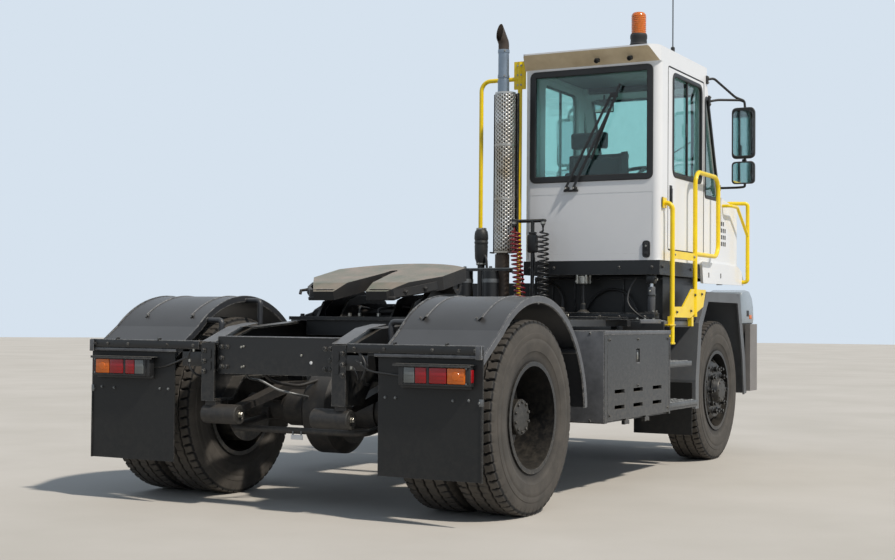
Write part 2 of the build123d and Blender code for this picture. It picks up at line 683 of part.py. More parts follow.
def hose_gantry():
    """Post with a cross bar that holds the coiled air hoses up, with the bulkhead fittings on the deck."""
    x, y, top = 1935, -330, 1716
    base = RAIL_TOP + DECK_T
    gantry = bar((x, y, base), (x, y, top), 13)
    gantry += bar((x, HOSES[0][1], top), (x, HOSES[1][1], top), 12)
    pieces = []
    for index in range(len(HOSES)):
        foot, head, way = hose_line(index)
        gantry += bar((x, head.Y, top), (head.X, head.Y + 2, top), 10)
        gantry += bar(head, head + way * 38, 14)
        stub = bar((foot.X, foot.Y, base), (foot.X, foot.Y, HOSE_LOW - 20), 20)
        pieces.append(stub + bar(foot - way * 40, foot, 14))
    gantry += block((x - 18, x + 18), (y - 30, y + 30), (1520, 1600))
    return [gantry] + pieces


def hose(index):
    """The outer shape of one coiled air hose, which hangs from the gantry to the deck."""
    foot, head, way = hose_line(index)
    return [bar(foot + way * 0.3, head - way * 0.3, HOSE_COIL_R)]


def cab_mounts():
    """What carries the cab: rear cross beam with two sprung posts, front cross tube with pivot lugs."""
    rear = block((2100, 2200), (-1150, -185), (RAIL_TOP + DECK_T, 1090)) - block(
        (2100, 2200), (-1150, -470), (RAIL_TOP, RAIL_TOP + DECK_T))
    for side_y in (-RAIL_OUT, -RAIL_OUT + 60):
        rear += block((2100, 2200), (side_y, side_y + 20), (RAIL_TOP, 1060))
    for y, radius in ((-1110, 24), (-626, 50)):
        rear += bar((2150, y, 1090), (2150, y, CAB_FRAME_LOW - 0.3), radius)
        rear += bar((2150, y, CAB_FRAME_LOW - 14), (2150, y, CAB_FRAME_LOW - 0.3), radius + 18)
    x, z = TILT_PIVOT
    front = block((x - 40, x + 40), (-1120, -200), (1262, 1302))
    front += block((x - 40, x + 40), (-RAIL_OUT, -RAIL_OUT + RAIL_FLANGE), (RAIL_FRONT_TOP, 1262))
    for y in PIVOT_EARS:
        front += block((x - 34, x + 34), (y + 46, y + 74), (1290, z))
        front += pin(x, z, (y + 46, y + 74), 34) + pin(x, z, (y - 12, y + 46), PIN_R - 7)
    foot_x, foot_z = TILT_FOOT
    bracket = block((foot_x - 45, foot_x + 45), (-499, -RAIL_OUT), (760, foot_z + 30))
    bracket += pin(foot_x, foot_z, (TILT_Y - 38, -499), TILT_PIN_R)
    return [rear, front, bracket]


PIVOT_EARS = (-1030, -345)
TILT_PIN_R = 14


def cylinder(foot, head, y, sizes):
    """Barrel and rod of one cylinder; the rod's eye stands clear of its pin by the given play."""
    eye_r, half, barrel, bore, pin_r, play = sizes
    barrel_r, barrel_start, barrel_end = barrel
    rod_r, rod_start = bore
    (foot_x, foot_z), (head_x, head_z) = foot, head
    reach = hypot(head_x - foot_x, head_z - foot_z)
    way_x, way_z = (head_x - foot_x) / reach, (head_z - foot_z) / reach

    def at(distance):
        return (foot_x + way_x * distance, y, foot_z + way_z * distance)

    body = pin(foot_x, foot_z, (y - half, y + half), eye_r) + bar(at(eye_r * 0.5), at(barrel_start + 1), half - 1)
    body += bar(at(barrel_start), at(barrel_end), barrel_r)
    body -= pin(foot_x, foot_z, (y - half - 60, y + half + 60), pin_r + PIVOT_FIT)
    body -= bar(at(rod_start - 5), at(barrel_end + 1), rod_r + PIVOT_FIT)
    rod = bar(at(rod_start), at(reach - pin_r - play - 4), rod_r)
    rod += pin(head_x, head_z, (y - half, y + half), pin_r + play + 12)
    rod -= pin(head_x, head_z, (y - half - 60, y + half + 60), pin_r + play)
    return body, rod


def lift_cylinders():
    """The twin lift cylinders between the frame cradle and the boom."""
    sizes = (38, 28, (48, 62, 415), (28, 84), PIN_R - 5, ROD_EYE_PLAY)
    return [cylinder(LIFT_FOOT, LIFT_HEAD, side * LIFT_Y, sizes) for side in (-1, 1)]


def tilt_cylinder():
    """The single cylinder that tilts the cab."""
    return cylinder(TILT_FOOT, TILT_HEAD, TILT_Y, (30, 26, (34, 36, 402), (18, 100), TILT_PIN_R, TILT_EYE_PLAY))


def lift_boom():
    """Boom hinged at its front eyes: two arms, base plate, and the flared pedestal with its trunnions."""
    pivot_x, pivot_z = BOOM_PIVOT
    boom = block((160, 975), (-450, 450), (1030, 1050))
    for side in (-1, 1):
        arm_y = sorted((side * 272, side * 350))
        arm = across(profile([(200, 940), (200, 1035), (1100, 1035), (pivot_x, 1000), (pivot_x, 922)]), arm_y)
        arm += pin(pivot_x, pivot_z, arm_y, 54)
        boom += arm - pin(pivot_x, pivot_z, sorted((side * 200, side * 400)), PIN_R + PIVOT_FIT)
    boom += block((1180, 1240), (-272, 272), (930, 1010)) + block((200, 260), (-272, 272), (940, 1030))
    for side in (-1, 1):
        flare = [(450, 1050), (450, 1060), (395, 1076), (345, 1130), (342, 1300), (300, 1300), (300, 1050)]
        cheek = along(profile([(side * y, z) for y, z in flare]), (300, 1000))
        trunnion_x, trunnion_z = TRUNNION
        side_line = [(330, 1050), (960, 1050), (960, 1078), (trunnion_x + 52, trunnion_z + 34),
                     (trunnion_x - 52, trunnion_z + 34), (330, 1092)]
        boom += cheek & across(profile(side_line), (-460, 460))
        boom += pin(trunnion_x, trunnion_z, sorted((side * 300, side * 428)), PIN_R)
        for edge in (-48, 34):
            lug_y = (side * LIFT_Y + edge, side * LIFT_Y + edge + 14)
            boom += block((LIFT_HEAD[0] - 30, LIFT_HEAD[0] + 30), lug_y, (LIFT_HEAD[1] - 22, 1035))
        boom += pin(*LIFT_HEAD, (side * LIFT_Y - 48, side * LIFT_Y + 48), PIN_R - 5)
    boom += block((560, 720), (-300, 300), (1050, 1130))
    return [boom]


def fifth_wheel():
    """Coupling plate with its rear throat and ramps, skirts, side bearings and closed jaws, lying tilted back."""
    half, rear, ramp = PLATE_HALF, -520, -395
    side = [(rear, 250), (-200, half), (95, half)]
    front = ThreePointArc((95, half), (278, 0), (95, -half))
    rest = Polyline(*[front @ 1, (-200, -half), (rear, -250), (rear, -110), (-60, -27), (-60, 27), (rear, 110),
                      (rear, 250), (-200, half), (95, half)])
    face = make_face([front, rest])
    plate = upward(face, (PLATE_TOP - PLATE_T, PLATE_TOP)) - upward(Circle(KINGPIN_BORE_R + 2), (0, 200))
    plate -= block((-61, 0), (-KINGPIN_BORE_R - 2, KINGPIN_BORE_R + 2), (0, 200))
    skirt = upward(face, (PLATE_TOP - 80, PLATE_TOP - PLATE_T))
    skirt -= upward(offset(face, amount=-16, kind=Kind.INTERSECTION), (PLATE_TOP - 80, PLATE_TOP - PLATE_T))
    droop = across(profile([(rear - 1, PLATE_TOP + 1), (ramp, PLATE_TOP + 1), (ramp, PLATE_TOP),
                            (rear - 1, PLATE_TOP - 30)]), (-half, half))
    under = across(profile([(rear, PLATE_TOP - 80), (ramp, PLATE_TOP - PLATE_T), (ramp - 60, PLATE_TOP - PLATE_T),
                            (rear, PLATE_TOP - 48)]), (-half, half)) & upward(face, (0, PLATE_TOP))
    jaws = block((-85, 75), (-80, 80), (-10, PLATE_TOP - PLATE_T)) - bar(
        (0, 0, -20), (0, 0, 200), KINGPIN_BORE_R)
    coupler = plate + skirt + under - droop + jaws
    for y in (-230, 230):
        coupler += block((-380, 180), (y - 9, y + 9), (PLATE_TOP - 70, PLATE_TOP - PLATE_T))
    for bearing in ((-436, -352), (352, 436)):
        boss = block((-60, 60), bearing, (-10, PLATE_TOP - PLATE_T)) + pin(0, 0, bearing, 50)
        coupler += boss - pin(0, 0, (bearing[0] - 5, bearing[1] + 5), PIN_R + PIVOT_FIT)
    return [Pos(TRUNNION[0], 0, TRUNNION[1]) * Rot(0, -PLATE_TILT, 0) * coupler]


def cab_solid(inset):
    """The cab's outer form, or with an inset the space inside its walls."""
    side = [
        (CAB_REAR, CAB_SILL), (CAB_REAR, CAB_EAVES), (PILLAR_TOP_X, CAB_EAVES), COWL, NOSE_TOP, NOSE_FRONT,
        (NOSE_FRONT[0], CAB_SILL),
    ]
    plan = [(CAB_REAR, CAB_RIGHT), (NOSE_FRONT[0], CAB_RIGHT), (NOSE_FRONT[0], CAB_LEFT), (CAB_REAR, CAB_LEFT)]
    side_face = offset(profile(side), amount=-inset, kind=Kind.INTERSECTION) if inset else profile(side)
    plan_face = offset(profile(plan), amount=-inset, kind=Kind.INTERSECTION) if inset else profile(plan)
    plan_face = fillet(plan_face.vertices().group_by(Axis.X)[-1], 180 - inset)
    plan_face = fillet(plan_face.vertices().group_by(Axis.X)[0], 50 - inset)
    form = across(side_face, (CAB_RIGHT, CAB_LEFT)) & upward(plan_face, (CAB_SILL, CAB_EAVES + 200))
    return form


def cab_shell():
    """Cab walls with every window and door cut, before they are parted into panels."""
    shell = cab_solid(0) - cab_solid(CAB_WALL)
    head = (CAB_EAVES - 2 * CAB_WALL, CAB_EAVES + 1)
    shell -= block((CAB_REAR + CAB_WALL, PILLAR_TOP_X - CAB_WALL), (CAB_RIGHT + CAB_WALL, CAB_LEFT - CAB_WALL), head)
    shell -= block(*REAR_WINDOW)
    shell -= block(*SCREEN_HOLE)
    middle = (CAB_RIGHT - 10, CAB_LEFT + 10)
    shell -= block(DOOR_X, middle, DOOR_Z)
    return shell - across(profile(QUARTER, QUARTER_R), middle)


REAR_WINDOW = ((CAB_REAR - 1, CAB_REAR + CAB_WALL + 1), (-1112, -258), (2012, 2738))
SCREEN_HOLE = ((PILLAR_TOP_X - 150, COWL[0]), (-1096, -279), (2050, 2700))
QUARTER = [(3066, 1955), (3376, 1955), (3112, 2650), (3066, 2650)]
QUARTER_R = 14
SIDE_SPLIT_X = COWL[0]
FLOOR_TOP = CAB_SILL + CAB_WALL


def cab_panels():
    """The shell parted where its real panels meet: rear wall, two side walls and the nose."""
    shell = cab_shell() - block((CAB_REAR, 4100), (CAB_RIGHT, CAB_LEFT), (CAB_SILL - 1, FLOOR_TOP))
    tall = (FLOOR_TOP, CAB_EAVES)
    wide = (CAB_RIGHT, CAB_LEFT)
    rear = shell & block((CAB_REAR, CAB_REAR + CAB_WALL + 10), wide, tall)
    sides = []
    for y in ((CAB_RIGHT, CAB_RIGHT + CAB_WALL), (CAB_LEFT - CAB_WALL, CAB_LEFT)):
        sides.append(shell & block((CAB_REAR + CAB_WALL + 10, SIDE_SPLIT_X), y, tall))
    inside = (CAB_RIGHT + CAB_WALL, CAB_LEFT - CAB_WALL)
    nose = shell & (block((PILLAR_TOP_X - 100, SIDE_SPLIT_X), inside, tall) + block((SIDE_SPLIT_X, 4100), wide, tall))
    for slot in VENT_SLOTS:
        sides[0] -= block(slot[0], (CAB_RIGHT - 1, CAB_RIGHT + 12), slot[1])
        nose -= block(slot[0], (CAB_RIGHT - 1, CAB_RIGHT + 12), slot[1])
    return rear, sides, nose


VENT_SLOTS = [
    ((3440 + column * 44, 3472 + column * 44), (1604 + row * 50, 1636 + row * 50))
    for column in range(3) for row in range(4 - (column == 2))
]


def cab_rear_wall(rear):
    """Rear wall, with the shallow joint lines of its lift-off panel cut in."""
    left, right, low, high = -220, -1134, 1500, 1905
    line = 6
    seams = block((CAB_REAR - 1, CAB_REAR + 3), (right, left), (high - line, high))
    for y in (left, right):
        seams += block((CAB_REAR - 1, CAB_REAR + 3), sorted((y, y + line)), (low, high))
    return [rear - seams]


def cab_sides(sides):
    """Both side walls; the left one carries the hinge pins of its door."""
    right, left = sides
    hinge_x, hinge_y = DOOR_HINGE
    for z in DOOR_HINGES:
        for low in (z - 34, z + 22):
            left += block((hinge_x - 10, hinge_x + 24), (CAB_LEFT, hinge_y + 8), (low, low + 12))
        left += bar((hinge_x, hinge_y, z - 34), (hinge_x, hinge_y, z + 34), 6)
    return [right, left]


DOOR_HINGES = (1700, 2560)


def door_leaf(y):
    """A door leaf with its window hole, a clearance smaller than the opening all round."""
    low_x, high_x = DOOR_X[0] + DOOR_GAP, DOOR_X[1] - DOOR_GAP
    low_z, high_z = DOOR_Z[0] + DOOR_GAP, DOOR_Z[1] - DOOR_GAP
    leaf = block((low_x, high_x), y, (low_z, high_z))
    hole = profile([(2352, WINDOW_LOW), (2968, WINDOW_LOW), (2968, 2728), (2352, 2728)], 45)
    leaf -= across(hole, (y[0] - 5, y[1] + 5))
    pane = across(offset(hole, amount=-RIM_FIT), ((y[0] + y[1]) / 2 - GLASS_T / 2, (y[0] + y[1]) / 2 + GLASS_T / 2))
    return leaf, pane


def left_door():
    """Hinged door on the deck side, with two knuckles on its front edge."""
    leaf, pane = door_leaf((CAB_LEFT - CAB_WALL, CAB_LEFT))
    hinge_x, hinge_y = DOOR_HINGE
    for z in DOOR_HINGES:
        leaf += block((DOOR_X[1] - 60, DOOR_X[1] - DOOR_GAP), (CAB_LEFT, hinge_y + 6), (z - 21.7, z + 21.7))
        leaf += block((DOOR_X[1] - 60, hinge_x), (CAB_LEFT + 6, hinge_y + 6), (z - 21.7, z + 21.7))
        leaf += bar((hinge_x, hinge_y, z - 21.7), (hinge_x, hinge_y, z + 21.7), 12)
        leaf -= bar((hinge_x, hinge_y, z - 40), (hinge_x, hinge_y, z + 40), 6 + PIVOT_FIT)
    return [leaf, pane]


def right_door():
    """Plug door beside the steps, with a sealing flange that laps behind the opening."""
    leaf, pane = door_leaf((CAB_RIGHT, CAB_RIGHT + CAB_WALL))
    inner = CAB_RIGHT + CAB_WALL
    lap = 12
    flange = block((DOOR_X[0] - lap, DOOR_X[1] + lap), (inner + 0.3, inner + 10), (DOOR_Z[0] - lap, DOOR_Z[1] + lap))
    flange -= block((DOOR_X[0] + 60, DOOR_X[1] - 60), (inner, inner + 11), (DOOR_Z[0] + 60, DOOR_Z[1] - 45))
    bridge = block((DOOR_X[0] + DOOR_GAP, DOOR_X[1] - DOOR_GAP), (inner - 1, inner + 1), (DOOR_Z[0] + 10, DOOR_Z[0] + 55))
    return [leaf + flange + bridge, pane]


def cab_roof():
    """Hollow roof cap that flares out behind into a visor."""
    line = [
        (CAB_REAR, CAB_EAVES), (CAB_REAR - VISOR_REACH, ROOF_TOP - 20), (CAB_REAR - VISOR_REACH, ROOF_TOP - 10),
        (CAB_REAR - 30, ROOF_TOP), (3100, ROOF_TOP), (3150, ROOF_TOP - 20), (3150, 2830), (PILLAR_TOP_X, CAB_EAVES),
    ]
    cap = across(profile(line), (CAB_RIGHT, CAB_LEFT))
    plan = [
        (CAB_REAR - VISOR_REACH, CAB_RIGHT + 42), (CAB_REAR + 10, CAB_RIGHT), (3090, CAB_RIGHT), (3160, CAB_RIGHT + 50),
        (3160, CAB_LEFT - 50), (3090, CAB_LEFT), (CAB_REAR + 10, CAB_LEFT), (CAB_REAR - VISOR_REACH, CAB_LEFT - 42),
    ]
    cap &= upward(profile(plan, 18), (CAB_EAVES, ROOF_TOP))
    cap -= block((CAB_REAR + CAB_WALL, PILLAR_TOP_X - CAB_WALL), (CAB_RIGHT + CAB_WALL, CAB_LEFT - CAB_WALL),
                 (CAB_EAVES, ROOF_TOP - 40))
    return [cap]


def cab_floor():
    """Floor slab on its welded base frame, pocketed from below, with the tilt pivot's ears."""
    slab = cab_solid(0) & block((CAB_REAR, 4100), (CAB_RIGHT, CAB_LEFT), (CAB_SILL, FLOOR_TOP))
    beam = 60
    frame = block((CAB_REAR, 3900), (CAB_RIGHT, CAB_LEFT), (CAB_FRAME_LOW, CAB_SILL))
    for x in ((CAB_REAR + beam + 60, 3000), (3060, 3900 - beam)):
        frame -= block(x, (CAB_RIGHT + beam, CAB_LEFT - beam), (CAB_FRAME_LOW - 1, CAB_SILL - 20))
    x, z = TILT_PIVOT
    for y in PIVOT_EARS:
        ear = across(profile([(3880, 1350), (3880, CAB_SILL), (x, CAB_SILL), (x + 36, z), (x, z - 36)]), (y, y + 40))
        frame += (ear + pin(x, z, (y, y + 40), 36)) - pin(x, z, (y - 5, y + 45), PIN_R - 7 + PIVOT_FIT)
    head_x, head_z = TILT_HEAD
    frame += block((head_x - 25, head_x + 25), (-505, -485), (head_z - 25, CAB_SILL - 20))
    frame += pin(head_x, head_z, (TILT_Y - 38, -485), TILT_PIN_R)
    return [slab + frame]


def cab_skirt():
    """White valance below the cab's front right side."""
    line = [(2930, 1468), (3800, 1462), (3900, 1430), (3990, 1320), (2960, 1312)]
    return [across(profile(line, 12), (CAB_RIGHT - 20, CAB_RIGHT))]


def cab_glass():
    """The fixed panes: rear window, two quarter lights and windscreen."""
    fit = RIM_FIT
    x, y, z = REAR_WINDOW
    middle = CAB_REAR + CAB_WALL / 2
    panes = [block((middle - GLASS_T / 2, middle + GLASS_T / 2), (y[0] + fit, y[1] - fit), (z[0] + fit, z[1] - fit))]
    quarter = offset(profile(QUARTER, QUARTER_R), amount=-fit)
    for middle in (CAB_RIGHT + CAB_WALL / 2, CAB_LEFT - CAB_WALL / 2):
        panes.append(across(quarter, (middle - GLASS_T / 2, middle + GLASS_T / 2)))
    x, y, z = SCREEN_HOLE
    slope = (COWL[0] - PILLAR_TOP_X) / (CAB_EAVES - COWL[1])
    face = [(COWL[0] - 28 - (height - COWL[1]) * slope + shift, height)
            for height, shift in ((z[0] + fit, 0), (z[1] - fit, 0), (z[1] - fit, GLASS_T), (z[0] + fit, GLASS_T))]
    panes.append(across(profile(face), (y[0] + fit, y[1] - fit)))
    return panes


def seat():
    """Driver's seat: pedestal, cushion, backrest and headrest as plain closed shapes."""
    y = SEAT_Y
    base = bar((2620, y, FLOOR_TOP), (2620, y, 1800), 110) + block((2460, 2800), (y - 190, y + 190), (1800, 1840))
    cushion = block((2440, 2900), (y - 240, y + 240), (1840.3, 1950))
    cushion = fillet(cushion.edges(), 30)
    back = block((2330, 2439.7), (y - 230, y + 230), (1880, 2380))
    back = fillet(back.edges(), 30)
    bracket = block((2360, 2420), (y - 60, y + 60), (1800, 1878.7)) + block((2360, 2480), (y - 60, y + 60), (1800, 1838))
    return [base + bracket, cushion, back]


SEAT_Y = -640


def dashboard():
    """Dashboard across the cab with the steering column and wheel."""
    inner = (CAB_RIGHT + CAB_WALL + 0.3, CAB_LEFT - CAB_WALL - 0.3)
    dash = across(profile([(3290, FLOOR_TOP), (3250, 1900), (3300, 1922), (3380, 1920), (3380, FLOOR_TOP)]), inner)
    hub = Vector(3090, SEAT_Y, 2110)
    tilt = Plane(origin=hub, z_dir=(-0.42, 0, 0.9))
    wheel = tilt.location * Torus(205, 14)
    spokes = tilt.location * (Box(404, 30, 12) + Box(30, 404, 12) + Cylinder(45, 30))
    column = bar(hub, (3275, SEAT_Y, 1720), 28)
    return [dash + wheel + spokes + column]


def mirror_arm():
    """Right-hand mirrors on their tube frame, fixed to the front pillar."""
    side, x, y = CAB_RIGHT, 3345, -1395
    upper = tube([(3066, side - 3, 2832), (3066, side - 60, 2832), (x, y, 2712), (x, y, 2600)], 11, 26)
    lower = tube([(3378, side - 3, 2031), (3378, side - 60, 2031), (x, y, 2031), (x, y, 2100)], 11, 24)
    heads = [
        # z limits
        (2238, 2612), (2050, 2216),
    ]
    whole = upper + lower + bar((x, y, 2060), (x, y, 2600), 9)
    for z in heads:
        head = block((x - 38, x + 38), (MIRROR_OUT + 12, MIRROR_OUT + 186), z)
        whole += fillet(head.edges(), 24)
    whole += block((3044, 3088), (side - 6, side), (2806, 2858)) + block((3358, 3396), (side - 6, side), (2008, 2054))
    edge = block((x - 12, x + 12), (MIRROR_OUT, MIRROR_OUT + 30), (2300, 2560))
    return whole + edge


def mirrors():
    """The right mirrors and their twins on the cab's left side."""
    right = mirror_arm()
    middle = Plane(origin=(0, (CAB_RIGHT + CAB_LEFT) / 2, 0), z_dir=(0, 1, 0))
    return [right, mirror(right, middle)]


def beacon():
    """Flashing beacon on a rubber foot."""
    x, y = 2045, -1050
    return [bar((x, y, ROOF_TOP), (x, y, ROOF_TOP + 60), 60) + bar((x, y, ROOF_TOP + 60), (x, y, 3104), 50)]


def antenna():
    """Whip aerial on its base."""
    x, y = 2530, -1120
    return [bar((x, y, ROOF_TOP), (x, y, ROOF_TOP + 60), 14) + bar((x, y, ROOF_TOP + 60), (x, y, 3450), 4)]


def front_handrail():
    """Yellow grab rail at the cab's front corner with its upper brace."""
    y, x = CAB_RIGHT - 62, 3925
    lower, upper, lug = 1345, 1955, (3850, CAB_RIGHT + 90)
    rail = tube([(x, CAB_RIGHT - 20, lower), (x, y, lower), (x, y, upper), (*lug, upper), (*lug, 1880)], TUBE_R - 1, 24)
    brace = tube([(3470, CAB_RIGHT + 8, 1905), (3470, y, 1905), (3650, y, 1905), (x, y, 1700)], 12, 30)
    return [(rail + brace) - cab_solid(0)]


def write(name, pieces):
    """Move a node's solids to the shared origin and write them as one STEP file."""
    solids = [solid for piece in pieces for solid in piece.solids()]
    export_step(Pos(-DATUM.X, -DATUM.Y, 0) * Compound(solids), f"parts/{name}.step")


def build():
    """Every node's name with its pieces."""
    rear_wall, side_walls, nose = cab_panels()
    lift = lift_cylinders()
    tilt_barrel, tilt_rod = tilt_cylinder()
    rear, front = rear_wheel(), front_wheel()
    duals = [tyre(0, REAR_TRACK_HALF + side * DUAL_SPACING / 2) for side in (-1, 1)]
    front_tyre = tyre(WHEELBASE, FRONT_TRACK_HALF)
    return {
        "frame_rails": frame_rails(),
        "crossmembers": crossmembers(),
        "rear_axle": rear_axle(),
        "front_axle": front_axle(),
        "leaf_springs": leaf_springs(),
        "engine_block": engine_block(),
        "engine_cover": engine_cover(),
        "rear_mudguards": rear_mudguards(),
        "mud_flaps": mud_flaps(),
        "lamps": lamps(),
        "bumper": bumper(),
        "battery_box": battery_box(),
        "battery_box_door": battery_box_door(),
        "fuel_tank": fuel_tank(),
        "rear_deck": rear_deck(),
        "side_steps": side_steps(),
        "step_rails": step_rails(),
        "front_fenders": front_fenders(),
        "exhaust_stack": exhaust_stack(),
        "guard_hoop": guard_hoop(),
        "intake_sleeve": intake_sleeve(),
        "air_tanks": air_tanks(),
        "hose_gantry": hose_gantry(),
        "red_hose": hose(0),
        "black_hose": hose(1),
        "cab_mounts": cab_mounts(),
        "knuckle_left": knuckle(1),
        "knuckle_right": knuckle(-1),
        "tie_rod": tie_rod(),
        "front_left_tyre": [front_tyre],
        "front_left_rim": [front],
        "front_right_tyre": [mirrored(front_tyre)],
        "front_right_rim": [mirrored(front)],
        "rear_left_tyres": duals,
        "rear_left_rims": [rear],
        "rear_right_tyres": [mirrored(piece) for piece in duals],
        "rear_right_rims": [mirrored(rear)],
        "lift_boom": lift_boom(),
        "fifth_wheel": fifth_wheel(),
        "lift_barrels": [barrel for barrel, rod in lift],
        "lift_rods": [rod for barrel, rod in lift],
        "tilt_barrel": [tilt_barrel],
        "tilt_rod": [tilt_rod],
        "cab_floor": cab_floor(),
        "cab_rear_wall": cab_rear_wall(rear_wall),
        "cab_sides": cab_sides(side_walls),
        "cab_nose": [nose],
        "cab_roof": cab_roof(),
        "cab_skirt": cab_skirt(),
        "cab_glass": cab_glass(),
        "left_door": left_door(),
        "right_door": right_door(),
        "seat": seat(),
        "dashboard": dashboard(),
        "mirrors": mirrors(),
        "beacon": beacon(),
        "antenna": antenna(),
        "front_handrail": front_handrail(),
    }


if __name__ == "__main__":
    os.makedirs("parts", exist_ok=True)
    for node, pieces in build().items():
        write(node, pieces)
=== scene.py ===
# %% [markdown]
# # A terminal tractor on a pale studio floor
# A terminal tractor pulls trailers about a port. It has a short chassis on six tyres, a lifting
# coupler over the rear axle, and a narrow cab set to one side. The solid model comes in as a
# fixed frame, in metres, with x forward, y to the left and z up. Everything that is made here
# sits on that frame: the camera, the two hoses, the finishes, and the small pieces that a
# photograph of such a tractor shows.

# %% Load the frame
import math
import bmesh
import bpy
from mathutils import Matrix, Quaternion, Vector


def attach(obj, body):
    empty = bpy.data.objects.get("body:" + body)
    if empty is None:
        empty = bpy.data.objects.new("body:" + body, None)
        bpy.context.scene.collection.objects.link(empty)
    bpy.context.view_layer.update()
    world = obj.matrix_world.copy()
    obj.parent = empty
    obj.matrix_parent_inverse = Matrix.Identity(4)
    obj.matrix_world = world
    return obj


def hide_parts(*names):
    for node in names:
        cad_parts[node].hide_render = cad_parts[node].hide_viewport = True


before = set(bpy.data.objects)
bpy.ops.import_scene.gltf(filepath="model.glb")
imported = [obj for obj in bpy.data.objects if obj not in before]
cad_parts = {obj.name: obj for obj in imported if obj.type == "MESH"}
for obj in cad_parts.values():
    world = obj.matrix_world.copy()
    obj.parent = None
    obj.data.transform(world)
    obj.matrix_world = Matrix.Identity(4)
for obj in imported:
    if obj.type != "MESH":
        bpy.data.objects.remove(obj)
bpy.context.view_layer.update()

# %% [markdown]
# The drawings of the tractor measure from the ground under the rear axle, in millimetres. The
# frame is in metres from its own middle. One function turns a drawing's place into the frame's,
# so every number below can be read as a place on the real machine. Three more give points round
# a circle, name a side, and put a new object into the scene.

# %% Drawing millimetres to the frame
ORIGIN_X, ORIGIN_Y = 1897, -117
FRONT_AXLE_X, AXLE_Z = 3567, 521
UP, BACK, RIGHT = (0, 0, 1), (-1, 0, 0), (0, -1, 0)


def at(x, y, z):
    """A place on the drawing, in millimetres, as a point of the frame."""
    return Vector(((x - ORIGIN_X) / 1000, (y - ORIGIN_Y) / 1000, z / 1000))


def circle(count, radius=1.0, first=0.0):
    """Points spread evenly round a circle, as (cosine, sine) times its radius."""
    turn = [math.tau * (i + first) / count for i in range(count)]
    return [(radius * math.cos(a), radius * math.sin(a)) for a in turn]


def hand(side):
    """The name of a side: 1 is the tractor's left, -1 its right."""
    return "left" if side > 0 else "right"


def linked(name, data):
    """A new object in the scene."""
    made = bpy.data.objects.new(name, data)
    bpy.context.scene.collection.objects.link(made)
    return made


print("rear axle", at(0, 0, AXLE_Z))

# %% [markdown]
# The camera stands behind the tractor on its right, a little above hub height. Its lens is a
# short telephoto, so the wheels keep their shape. Its place was worked out from points on the
# machine whose size is known: the axles, the window corners and the lamps.

# %% Camera
YAW, PITCH, ROLL = 0.4923, 0.0276, 0.0085
CAMERA_AT = (-8.7946, -4.2835, 1.0448)
SENSOR_MM, FOCAL_MM = 36, 57.2
ahead = Vector((math.cos(PITCH) * math.cos(YAW), math.cos(PITCH) * math.sin(YAW),
                math.sin(PITCH)))
right = Vector((math.sin(YAW), -math.cos(YAW), 0))
above = right.cross(ahead)
across = math.cos(ROLL) * right + math.sin(ROLL) * above
upright = math.cos(ROLL) * above - math.sin(ROLL) * right
lens = bpy.data.cameras.new("yard_camera")
lens.sensor_width, lens.lens = SENSOR_MM, FOCAL_MM
lens.shift_x, lens.shift_y = 0.00144, -0.001
lens.clip_start, lens.clip_end = 0.1, 200
camera = linked("yard_camera", lens)
camera.matrix_world = Matrix([
    (across[i], upright[i], -ahead[i], CAMERA_AT[i]) for i in range(3)] + [(0, 0, 0, 1)])
bpy.context.scene.camera = camera
print("camera", camera.location)

# %% [markdown]
# Every finish is a small tree of nodes. One function adds a node: it takes the node's own
# settings, and a table of inputs, where each input is either a number or the output that feeds
# it. Colours are written as sRGB hex values, as a paint chart gives them, and one function
# turns them into the linear values that light is reckoned in.

# %% Nodes and colours
def put(tree, kind, inputs=None, **settings):
    """Adds one node, with its settings, its constant inputs and its links."""
    made = tree.nodes.new(kind)
    for name, value in settings.items():
        setattr(made, name, value)
    for name, source in (inputs or {}).items():
        if isinstance(source, bpy.types.NodeSocket):
            tree.links.new(source, made.inputs[name])
        else:
            made.inputs[name].default_value = source
    return made


def linear(code):
    """An sRGB hex colour as linear red, green, blue and alpha."""
    parts = [int(code[i:i + 2], 16) / 255 for i in (1, 3, 5)]
    return tuple(p / 12.92 if p <= 0.04045 else ((p + 0.055) / 1.055) ** 2.4 for p in parts) + (1,)


def blended(tree, amount, under, over):
    """Two colours mixed by an amount. A Mix node keeps its colours in sockets 6 and 7."""
    return put(tree, "ShaderNodeMix", {0: amount, 6: under, 7: over}, data_type="RGBA").outputs[2]


def per_mm(size):
    """The scale of a pattern whose features are so many millimetres across."""
    return 1000 / size


def ranged(tree, value, low, high, to_low=0.0, to_high=1.0):
    """A value between two limits, carried over to two others."""
    return put(tree, "ShaderNodeMapRange", {
        "Value": value, "From Min": low, "From Max": high, "To Min": to_low,
        "To Max": to_high}).outputs["Result"]


def reckoned(tree, one, other, operation="MULTIPLY"):
    """Two values multiplied, or joined by another operation."""
    return put(tree, "ShaderNodeMath", {0: one, 1: other}, operation=operation).outputs[0]


def noise(tree, place, size, detail, roughness):
    """A noise whose features are so many millimetres across."""
    return put(tree, "ShaderNodeTexNoise", {
        "Vector": place, "Scale": per_mm(size), "Detail": detail,
        "Roughness": roughness}).outputs["Fac"]


def parts_of(material):
    """A material's node tree, its shader, and the place of a point on the object."""
    tree = material.node_tree
    return (tree, tree.nodes["Principled BSDF"],
            put(tree, "ShaderNodeTexCoord").outputs["Object"])


def new_material(name):
    """An empty material with its parts."""
    material = bpy.data.materials.new(name)
    material.use_nodes = True
    return (material, *parts_of(material))


print("white paint is", [round(v, 3) for v in linear("#E6E7E5")])

